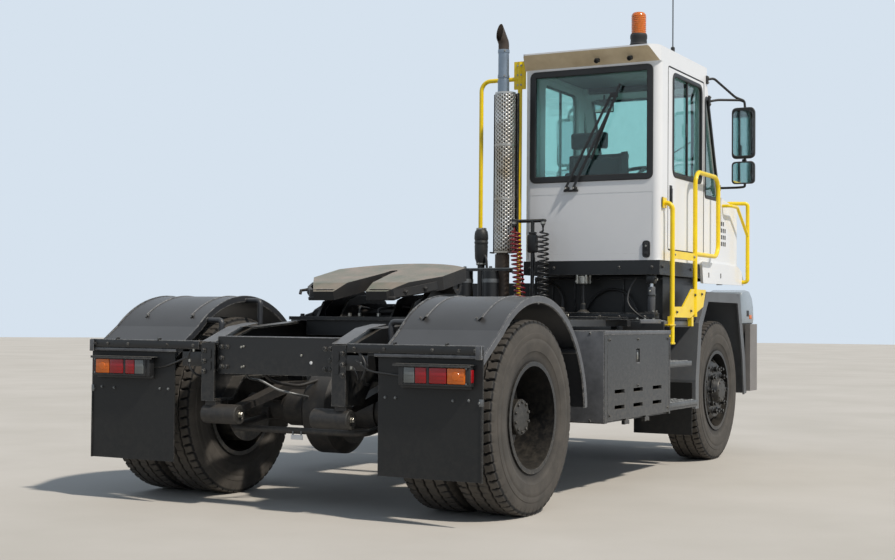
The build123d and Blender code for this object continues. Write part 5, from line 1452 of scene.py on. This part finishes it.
# %% Beacon and antenna
def beacon_lamp():
    """Foot, clamp ring, ribbed dome and the reflector inside."""
    work = Bench("beacon_lamp", trim_plastic)
    middle = (2045, -1050, 0)
    foot = [(2878, 60), (2888, 60), (2892, 56), (2918, 54), (2926, 57), (2946, 57), (2950, 54),
            (2950, 0)]
    work.turned([(2878, 0)] + foot, middle, UP, 36)
    work.use(hub_iron)
    work.turned(oblong(2946, 2956, 50, 54), middle, UP, 36)
    work.use(beacon_dome)
    line = [(2952, 49)]
    for z in range(2964, 2964 + 9 * 13, 13):
        line += [(z - 3, 49.5), (z, 47.5), (z + 4, 47.5), (z + 7, 49.5)]
    line += [(3086, 47), (3098, 38), (3103, 22), (3104, 0)]
    work.turned(line, middle, UP, 40)
    inner = [(z, max(0, r - 3)) for z, r in reversed(line)]
    inner[0] = (3100, 0)
    work.turned(inner + [(2952, 0)], middle, UP, 40)
    work.use(mirror_silver)
    work.turned([(2956, 0), (2956, 20), (2975, 34), (2990, 30), (2990, 0)], middle, UP, 20)
    work.use(hub_iron)
    work.turned([(2990, 0), (2990, 10), (3040, 14), (3052, 8), (3054, 0)], middle, UP, 16)
    return work.done("cab", "beacon_orange", replaces=("beacon",))


def antenna_foot():
    """Rubber foot and spring of the whip antenna."""
    work = Bench("antenna_foot", seal_rubber)
    foot = (2530, -1120, 0)
    work.turned([(2880, 0), (2880, 24), (2888, 23), (2896, 14), (2916, 11), (2918, 0)], foot,
                UP, 24)
    work.use(nut_zinc)
    for z in range(2918, 2918 + 5 * 7, 7):
        work.turned(oblong(z, z + 4, 5, 9), foot, UP, 16)
    return work.done("cab", "black_plastic")


beacon_lamp()
antenna_foot()

# %% [markdown]
# The fifth wheel's plate is brown with old grease only on its face. Its sides are a black casting
# with ribs, the jaws sit in the throat, and a release handle sticks out on the left. Below it
# the lift boom carries side cheeks that box in its hoses. The plate is tilted at rest, so its
# small parts are set in the plate's own axes.

# %% Fifth wheel and boom
PLATE_TILT = math.radians(11.7)
TRUNNION = Vector((639, 0, 1240))


def on_plate(x, y, z):
    """A point given in the coupler plate's own axes, from its trunnion."""
    return TRUNNION + Vector((x * math.cos(PLATE_TILT) - z * math.sin(PLATE_TILT), y,
                              x * math.sin(PLATE_TILT) + z * math.cos(PLATE_TILT)))


def tilted(work, x, y, z, soft=0.0):
    """A slab in the plate's own axes."""
    turn = Quaternion((0, 1, 0), -PLATE_TILT).to_matrix()
    return work.slab([TRUNNION.x + a for a in x], y, [TRUNNION.z + a for a in z], soft,
                     turn=turn, about=TRUNNION)


def coupler_fittings():
    """Ribs, jaws, handle and grease nipples of the coupler plate."""
    work = Bench("coupler_fittings", casting_enamel)
    for side in (1, -1):
        for x, y_far, deep in ((-390, 300, 26), (-250, 372, 20), (-100, 420, 16), (60, 440, 14),
                               (180, 396, 20)):
            tilted(work, (x - 9, x + 9), (side * 150, side * (y_far - 20)), (deep, 52), 3)
        edge = [on_plate(x, side * y, 40) for x, y in
                ((-498, 150), (-494, 284), (-392, 366), (-256, 420), (56, 424), (184, 370),
                 (252, 250))]
        work.swept(edge, oblong(-9, 9, -16, 30), up=UP)
        for x, y in ((-440, 320), (-330, 388), (-60, 426), (130, 392)):
            work.bolt(on_plate(x, side * (y + 6), 46), (0, side, -0.3), 24)
        tilted(work, (-516, -440), (side * 128, side * 296), (8, 30), 6)
    tilted(work, (-60, 70), (-84, 84), (4, 60), 10)
    work.use(hub_iron)
    tilted(work, (-20, 30), (-40, 40), (40, 74), 8)
    work.use(casting_enamel)
    work.pipe([on_plate(-60, 60, 20), on_plate(-110, 300, 16), on_plate(-250, 420, 20),
               on_plate(-300, 444, 34)], 40, 11)
    work.rod([on_plate(-300, 444, 34), on_plate(-360, 446, 40), on_plate(-372, 446, 20)], 9)
    work.use(nut_zinc)
    for y in (-230, 230):
        work.turned([(0, 5), (6, 6), (8, 3), (14, 3), (16, 0)], on_plate(-200, y, 24),
                    (0, 0, -1), 8)
    return work.done("coupler", "plate_steel")


def boom_fittings():
    """Cheeks, hose run and bolts of the lift boom."""
    work = Bench("boom_fittings", frame_black_and_painted_shade)
    for side in (1, -1):
        for y, thick, cheek in (
                (306, 16, [(262, 1052), (330, 1140), (430, 1172), (560, 1200), (720, 1200),
                           (830, 1165), (900, 1120), (940, 1052)]),
                (170, 10, [(300, 1052), (380, 1150), (470, 1176), (700, 1190), (820, 1150),
                           (900, 1052)])):
            work.plate([(x, side * y, z) for x, z in cheek], (0, side * thick, 0))
        work.use(casting_enamel)
        for x in (230, 330, 800, 910):
            work.bolt((x, side * 400, 1050), UP, 24)
        work.use(frame_black_and_painted_shade)
        work.pipe([(900, side * 250, 1064), (520, side * 262, 1066), (430, side * 230, 1110),
                   (420, side * 120, 1112)], 40, 9)
    work.use(casting_enamel)
    work.rod([(520, -260, 1080), (520, 260, 1080)], 15)
    work.use(nut_zinc)
    for y in (-90, 40, 110):
        work.turned([(0, 9), (3, 12), (20, 12), (22, 8)], (300, y, 1051), UP, 6)
    work.use(seal_rubber)
    work.pipe([(300, 40, 1074), (300, 40, 1100), (380, 90, 1112), (560, 96, 1090),
               (700, 60, 1064)], 26, 8)
    work.pipe([(300, -90, 1074), (300, -90, 1096), (360, -130, 1106), (560, -140, 1090),
               (700, -90, 1064)], 26, 8)
    return work.done("boom", "frame_paint")


coupler_fittings()
boom_fittings()

# %% [markdown]
# At the tail, a flat crossmember closes the frame between two cast horns. Bolts stand in rows
# beside the rails, the horns have round-cornered slots, and air and lamp leads hang in loops
# beside them. The spring bushes show a ring and a nut each, a blank white plate hangs below the
# crossmember, and thin pipes run to the axle.

# %% Tail of the frame
def tail_fittings():
    """Bolts, slots, leads and pipes at the rear of the frame."""
    work = Bench("tail_fittings", grey_trim_and_painted_highlight)
    # The crossmember's flat top plate is grey: a painted highlight on its lit top.
    work.slab((-622, -500), (-372, 372), (934, 938), 1.5)
    work.use(frame_black_and_painted_shade)
    for side in (1, -1):
        for y, z in ((352, 880), (352, 820), (352, 772), (318, 880), (318, 772)):
            work.bolt((-620, side * y, z), BACK, 20)
        for z in (858, 800, 745):
            work.bolt((-654, side * 448, z), BACK, 20)
        # Grey tapered strips along the tops of the horns: painted highlights.
        work.use(grey_trim_and_painted_highlight)
        work.swept([(-650, side * 422, 906), (-560, side * 422, 936), (-420, side * 422, 986),
                    (-250, side * 422, 1008)], oblong(-44, 44, 0, 3), up=UP)
        work.use(seal_rubber)
        for z in (842, 776):
            slot = facing_x(-655, (side * 400, side * 426), (z - 26, z + 26))
            work.plate(rounded(slot, 12), (-2.5, 0, 0))
        work.use(frame_black_and_painted_shade)
    work.use(cab_white).turned([(0, 0), (0, 9), (2, 8), (3, 0)], (-620, -229, 804), BACK, 14)
    work.use(nut_zinc)
    for y, z in ((206, 884), (222, 880), (217, 772), (204, 776), (-170, 842)):
        work.bolt((-620, y, z), BACK, 12, washer=False)
    for side in (1, -1):
        for y, way in ((side * 247, -side), (side * 466, side)):
            out = (0, way, 0)
            work.use(hub_iron)
            work.turned([(0, 30), (0, 52), (5, 50), (5, 32), (2, 30)], (-600, y, 512), out, 28,
                        closed=True)
            work.use(casting_enamel).turned([(0, 0), (0, 28), (4, 26), (6, 0)],
                                            (-600, y, 512), out, 24)
            work.use(nut_zinc).bolt((-600, y + way * 5, 512), out, 26)
    leads = [
        (seal_rubber, 9, [(-600, -470, 900), (-640, -520, 905), (-655, -560, 850),
                          (-640, -575, 760), (-560, -520, 700), (-440, -470, 690)]),
        (seal_rubber, 7, [(-600, -470, 870), (-648, -540, 880), (-662, -600, 800),
                          (-648, -560, 720), (-560, -480, 720)]),
        (nylon_black, 5, [(-600, -470, 840), (-655, -530, 830), (-664, -610, 770),
                          (-650, -720, 760), (-646, -800, 752)]),
        (seal_rubber, 4, [(-600, -470, 820), (-650, -500, 800), (-652, -545, 740),
                        (-600, -500, 690)]),
        (seal_rubber, 7, [(-600, 470, 890), (-645, 530, 880), (-655, 570, 810),
                          (-640, 530, 720), (-520, 470, 700)]),
        (nylon_black, 5, [(-600, 470, 850), (-655, 560, 820), (-650, 700, 770),
                          (-646, 800, 752)]),
    ]
    for finish, radius, stops in leads:
        work.use(finish).pipe(stops, 60, radius, 10)
    work.use(nut_zinc)
    for y, z in ((-520, 862), (-560, 800), (-500, 776), (520, 850), (548, 792)):
        work.turned([(0, 7), (2, 10), (16, 10), (18, 7)], (-650, y, z), UP, 6)
    work.use(frame_black_and_painted_shade)
    for side in (-1, 1):
        work.slab((-652, -640), (side * 466, side * 600), (770, 866), 4)
    work.use(cab_white).slab((-442, -438), (-62, 16), (378, 404), 1.5)
    work.use(zinc)
    for y in (-50, 4):
        work.slab((-441, -436), (y - 4, y + 4), (400, 424), 1)
    work.pipe([(-560, 241, 738), (-520, 241, 704), (-420, 236, 694), (-380, 150, 640),
               (-330, 62, 618), (-240, 40, 600)], 40, 7)
    work.use(casting_enamel)
    work.pipe([(-560, 120, 738), (-500, 100, 690), (-300, 60, 660), (-180, 20, 690)], 50, 9)
    work.rod([(-60, -560, 560), (-60, 560, 560)], 8)
    for side in (1, -1):
        work.turned(oblong(0, 26, 76, 92), (0, side * 300, AXLE_Z), (0, side, 0), 28)
        work.slab((-60, 60), (side * 380, side * 470), (596, 640), 8)
        for x in (-44, 44):
            for y in (side * 392, side * 458):
                work.rod([(x, y, 470), (x, y, 668)], 10)
    for side in (1, -1):
        work.turned(oblong(0, 16, 196, 214), (0, side * 70, AXLE_Z), (0, side, 0), 36,
                    closed=True)
    return work.done("chassis", "axle_black")


tail_fittings()

# %% [markdown]
# Below the cab the real machine is dark: rubber curtains close the engine bay behind and at the
# side, and two mounts carry the cab's rear beam. The near one is a gas strut with a grey barrel,
# the middle one a sprung post under a bright cup. They take the plain posts' place. Hoses and a
# valve block lie on the deck in front of the curtain.

# %% Cab mounts, engine-bay curtains and deck gear
def cab_mount_set():
    """Rear beam, sprung post and strut under the cab."""
    work = Bench("cab_mount_set", frame_black_and_painted_shade)
    work.slab((2104, 2196), (-1150, -186), (1043, 1090), 5)
    work.slab((2100, 2200), (-1152, -184), (1084, 1092), 3)
    for y in (-1080, -900, -760, -460, -300):
        work.bolt((2102, y, 1066), BACK, 18)
    x, y = 2134, -624
    work.turned([(1090, 0), (1090, 44), (1098, 42), (1112, 20), (1150, 18), (1156, 11),
                 (1322, 10), (1322, 0)], (x, y, 0), UP, 28)
    work.use(nut_zinc)
    work.turned([(1286, 12), (1288, 40), (1292, 43), (1338, 43), (1342, 40), (1349, 30),
                 (1349, 0)], (x, y, 0), UP)
    for c, s in circle(4, first=0.5):
        work.bolt((x + 50 * c, y + 50 * s, 1300), UP, 16)
        work.turned(oblong(1292, 1349, 0, 9), (x + 46 * c, y + 46 * s, 0), UP, 10)
    x, y = 2150, -1110
    work.use(frame_black_and_painted_shade)
    work.slab((x - 42, x + 42), (y - 34, y + 34), (1090, 1100), 3)
    work.slab((x - 30, x + 30), (y - 28, y + 28), (1290, 1349), 8)
    work.use(grey_trim_and_painted_highlight)
    work.turned([(1100, 0), (1100, 22), (1108, 25), (1262, 25), (1268, 22), (1270, 0)],
                (x, y, 0), UP, 28)
    work.use(chrome).turned(oblong(1268, 1296, 0, 12), (x, y, 0), UP, 20)
    work.use(frame_black_and_painted_shade)
    work.turned(oblong(1204, 1216, 25, 29), (x, y, 0), UP, 24)
    work.use(nut_zinc)
    for dx in (-32, 32):
        work.bolt((x + dx, y - 24, 1100), UP, 14)
    work.bolt((x, y - 28, 1318), RIGHT, 20)
    work.bolt((x - 30, y, 1240), BACK, 12)
    return work.done("chassis", "frame_paint", replaces=("cab_mounts",))


def engine_bay():
    """Curtains, hoses and valves between the cab and the deck."""
    work = Bench("engine_bay_curtains", seal_rubber)
    folds = [(2282 + (5 if i % 2 else 0), min(-1140 + i * 30, -190)) for i in range(33)]
    outline = folds + [(x + 4, y) for x, y in folds[::-1]]
    lower, upper = ([work.mesh.verts.new((x, y, z)) for x, y in outline] for z in (1046, 1343))
    work.skin([lower, upper], ends=(lower, upper[::-1]))
    work.slab((2284, 3000), (-1142, -1136), (1046, 1343), 2)
    work.use(frame_black_and_painted_shade)
    work.slab((2276, 2284), (-1140, -190), (1322, 1330), 2)
    for y in (-1040, -860, -500, -330):
        work.slab((2276, 2284), (y - 5, y + 5), (1060, 1326), 2)
    work.use(seal_rubber)
    runs = [
        (11, [(1990, -1000, 1054), (2060, -800, 1056), (2040, -560, 1056), (2080, -300, 1056),
              (2060, -120, 1056)]),
        (9, [(1985, -960, 1052), (2020, -820, 1053), (1990, -600, 1053), (1960, -440, 1053),
             (1990, -330, 1053)]),
        (8, [(2230, -980, 1100), (2240, -900, 1240), (2262, -760, 1262), (2270, -640, 1200),
             (2262, -560, 1060)]),
        (9, [(2230, -420, 1060), (2246, -430, 1200), (2268, -360, 1290), (2272, -250, 1300)]),
        (7, [(2060, -1120, 1056), (2090, -1060, 1060), (2080, -960, 1150),
             (2120, -960, 1250), (2150, -1000, 1330)]),
    ]
    for radius, stops in runs:
        work.pipe(stops, 70, radius)
    work.use(hub_iron)
    work.slab((1960, 2030), (-560, -480), (1046, 1096), 8)
    work.turned([(0, 20), (4, 24), (30, 24), (36, 18), (40, 0)], (1995, -520, 1090), UP, 20)
    work.use(nut_zinc)
    for y, way in ((-558, -1), (-482, 1)):
        work.turned([(0, 9), (2, 11), (18, 11), (20, 9)], (1995, y, 1070), (0, way, 0), 6)
    work.use(frame_black_and_painted_shade)
    work.slab((1600, 1980), (-1232, -660), (1043, 1049), 2)
    # A grey strip on the deck plate's outer edge: a painted highlight.
    work.use(grey_trim_and_painted_highlight)
    work.slab((1600, 1980), (-1240, -1232), (1024, 1050), 2)
    work.use(frame_black_and_painted_shade)
    work.slab((1700, 1900), (-900, -700), (1049, 1066), 6)
    work.use(nut_zinc)
    for bx in (1640, 1780, 1940):
        for by in (-1200, -690):
            work.bolt((bx, by, 1049), UP, 14)
    return work.done("chassis", "black_plastic")


cab_mount_set()
engine_bay()

# %% [markdown]
# The battery locker's door is pressed steel with a recessed catch: the recess is a darker slab,
# painted shade, with a grey strip under it, a painted highlight. The lid has pale strips along its
# edge, and a tall slot beside a bolt is a darker slab, painted shade. The steps have galvanised
# non-slip treads. The tank on the other side has straps and a filler cap, and the step rails stand
# on bolted flanges.

# %% Locker, steps, tank and rail flanges
def side_fittings():
    """What is bolted to the frame's sides."""
    work = Bench("side_fittings", grey_trim_and_painted_highlight)
    work.slab((909, 2071), (-1270, -626), (974, 979), 2)
    work.slab((909, 2071), (-1275, -1268), (955, 979), 2)
    # The tall slot is a darker slab: painted shade in the opening.
    work.use(frame_black_and_painted_shade)
    work.slab((2043, 2066), (-1274, -1268), (786, 926), 1)
    work.use(rail_yellow)
    work.turned([(0, 0), (0, 9), (3, 8), (4, 0)], (2054, -1273, 941), RIGHT, 14)
    work.use(grey_trim_and_painted_highlight)
    for x in (908, 2071):
        work.slab((x - 2, x + 2), (-1270, -640), (440, 974), 1)
    work.use(frame_black_and_painted_shade)
    for z in (448, 962):
        for y in (-1180, -900, -700):
            work.bolt((913, y, z), BACK, 14)
    work.use(zinc)
    x_low, pitch = 2072, 62
    for x_high, top in ((2776, 486), (2642, 762), (2596, 1036)):
        work.slab((x_low, x_high), (-1228, -954), (top, top + 3), 1)
        work.slab((x_low, x_high), (-1229, -1225), (top - 26, top + 3), 1)
        for i in range(int((x_high - x_low) / pitch)):
            for j in range(4):
                x = x_low + 40 + (i + j % 2 / 2) * pitch
                if x < x_high - 24:
                    work.turned([(0, 9), (4, 12), (6, 15), (0, 18)],
                                (x, -1196 + j * pitch, top + 2), UP, 10)
    work.use(rail_yellow)
    work.slab((2078, 2186), (-1268, -1206), (1010, 1017), 2)
    work.slab((2130, 2200), (-1262, -1238), (884, 898), 4)
    work.use(frame_black_and_painted_shade)
    for x, z in ((2620, 1222), (2534, 1110), (2770, 1230), (2240, 1100)):
        work.bolt((x, -1256, z), RIGHT, 14)
    work.use(nut_zinc)
    for x in (2190, 2600):
        work.bolt((x, -1256, 1484), RIGHT, 14)
    work.use(zinc)
    for x in (1160, 1860):
        work.slab((x - 26, x + 26), (636, 1244), (985, 990), 2)
        work.slab((x - 26, x + 26), (1240, 1245), (446, 990), 2)
        work.use(nut_zinc).bolt((x, 1243, 700), (0, 1, 0), 12)
        work.use(zinc)
    work.use(trim_plastic)
    work.turned([(0, 0), (0, 62), (6, 64), (34, 60), (40, 52), (42, 0)], (1500, 1080, 985), UP, 28)
    work.slab((1494, 1506), (1020, 1140), (1024, 1034), 3)
    return work.done("chassis", "frame_paint")


def locker_door_fittings():
    """Catch and bolts that move with the locker's door."""
    work = Bench("locker_door_fittings", frame_black_and_painted_shade)
    # The catch's recess is a darker slab, painted shade; the grey strip below it is a painted
    # highlight.
    work.slab((1440, 1490), (-1268, -1262), (785, 858), 4)
    work.use(grey_trim_and_painted_highlight).slab((1434, 1496), (-1273, -1264), (775, 783), 2)
    work.use(nut_zinc).slab((1456, 1474), (-1272, -1262), (800, 846), 4)
    work.use(frame_black_and_painted_shade)
    for x, z in ((990, 925), (2012, 925), (990, 475), (2012, 475), (1465, 640), (1465, 925)):
        work.bolt((x, -1272, z), RIGHT, 12)
    return work.done("locker_door", "frame_paint")


side_fittings()
locker_door_fittings()

# %% [markdown]
# The seat is foam under cloth. Each cushion is swollen by a cloth simulation from a plain block,
# so its seams pull in and its middle stands out, and then it takes the woven finish. The driver
# also has an armrest, a sun blind and an inside mirror that show through the rear window.

# %% Padded seat
def evaluated(piece):
    """The piece's mesh with its modifiers in it."""
    bpy.context.view_layer.update()
    seen = piece.evaluated_get(bpy.context.evaluated_depsgraph_get())
    return bpy.data.meshes.new_from_object(seen)


def cushion(name, x, y, z, bulge):
    """A block of foam, blown up a little under its sewn cover."""
    work = Bench(name, cloth)
    work.slab(x, y, z, min(abs(x[1] - x[0]), abs(z[1] - z[0])) * 0.24)
    piece = work.done("cab", "seat_fabric")
    even = piece.modifiers.new("even_faces", "REMESH")
    even.mode, even.voxel_size = "VOXEL", 0.006
    piece.data = evaluated(piece)
    piece.modifiers.clear()
    rest = [v.co.copy() for v in piece.data.vertices]
    stuffing = piece.modifiers.new("stuffing", "CLOTH")
    stuffing.settings.use_pressure = True
    stuffing.settings.uniform_pressure_force = 4.0
    stuffing.settings.effector_weights.gravity = 0.0
    scene = bpy.context.scene
    for step in range(1, 21):
        scene.frame_set(step)
    swollen = evaluated(piece)
    for vertex, start in zip(swollen.vertices, rest):
        move = vertex.co - start
        if move.length > bulge:
            vertex.co = start + move.normalized() * bulge
    piece.modifiers.clear()
    piece.data = swollen
    for face in swollen.polygons:
        face.use_smooth = True
    piece.modifiers.new("finer", "SUBSURF").levels = 1
    piece.modifiers["finer"].render_levels = 1
    scene.frame_set(1)
    print(name, len(swollen.polygons), "faces, swollen")
    return piece


def seat_frame():
    """Pedestal, the cushion's piping, headrest posts, armrest and belt."""
    work = Bench("seat_frame", trim_plastic)
    work.turned([(1491, 0), (1491, 130), (1499, 126), (1510, 96), (1560, 84), (1740, 84),
                 (1790, 100), (1800, 0)], (2620, -640, 0), UP)
    work.slab((2462, 2798), (-826, -454), (1800, 1836), 10)
    work.slab((2352, 2424), (-700, -580), (1800, 1880), 10)
    work.slab((2340, 2372), (-860, -420), (1900, 2200), 14)
    work.use(nut_zinc)
    for y in (-610, -500):
        work.rod([(2386, y, 2180), (2386, y, 2300)], 7)
    work.use(trim_plastic)
    work.slab((2420, 2740), (-408, -352), (2040, 2090), 16)
    work.slab((2380, 2430), (-412, -390), (1960, 2080), 8)
    work.use(nylon_black)
    work.swept([(2345, -850, 1900), (2338, -850, 2050), (2338, -840, 2210)],
               oblong(-24, 24, -1.5, 1.5), up=BACK)
    for z in (1952, 1846):
        work.rod(rounded([(2446, -854, z), (2894, -854, z), (2894, -426, z), (2446, -426, z)],
                         60), 4, 8, closed=True)
    return work.done("cab", "seat_fabric", replaces=("seat",))


seat_frame()
cushion("seat_cushion", (2456, 2884), (-858, -422), (1850, 1934), 0.022)
cushion("seat_back", (2352, 2424), (-856, -424), (1894, 2214), 0.022)
cushion("seat_headrest", (2358, 2418), (-694, -424), (2246, 2362), 0.014)

# %% [markdown]
# Inside the cab: the steering column's binnacle with its dials, the side console with a lever,
# the inside mirror, the folded sun blind and the pillar's grab rod.

# %% Cab interior
def interior():
    """What shows through the cab's glass."""
    work = Bench("cab_interior", trim_plastic)
    work.slab((3190, 3262), (-760, -520), (1922, 2010), 20)
    work.slab((3236, 3244), (-748, -532), (1990, 2030), 8)
    work.use(hub_iron)
    for y in (-700, -640, -580):
        work.turned([(0, 0), (0, 26), (5, 24), (6, 20), (3, 18), (3, 0)], (3190, y, 1972),
                    (-1, 0, 0.4), 20)
    work.use(trim_plastic)
    work.slab((2480, 3080), (-372, -250), (1500, 1860), 30)
    work.rod([(2900, -312, 1855), (2912, -312, 1990)], 8)
    work.turned([(0, 0), (6, 22), (24, 27), (42, 20), (48, 0)], (2912, -312, 1985), UP, 20)
    work.slab((3040, 3058), (-480, -330), (2600, 2700), 10)
    work.rod([(3050, -400, 2700), (3060, -400, 2790)], 6)
    work.rod([(3064, -1080, 2070), (3040, -1090, 2400), (3030, -1090, 2690)], 11)
    work.slab((3010, 3060), (-1120, -280), (2740, 2786), 14)
    work.use(mirror_silver).slab((3036, 3041), (-474, -336), (2606, 2694), 2)
    work.use(grey_trim_and_painted_highlight)
    work.slab((2180, 2990), (-1120, -260), (2778, 2784), 2)
    work.use(cab_white)
    work.slab((2420, 2760), (-840, -520), (2786, 2800), 6)
    return work.done("cab", "black_plastic")


interior()
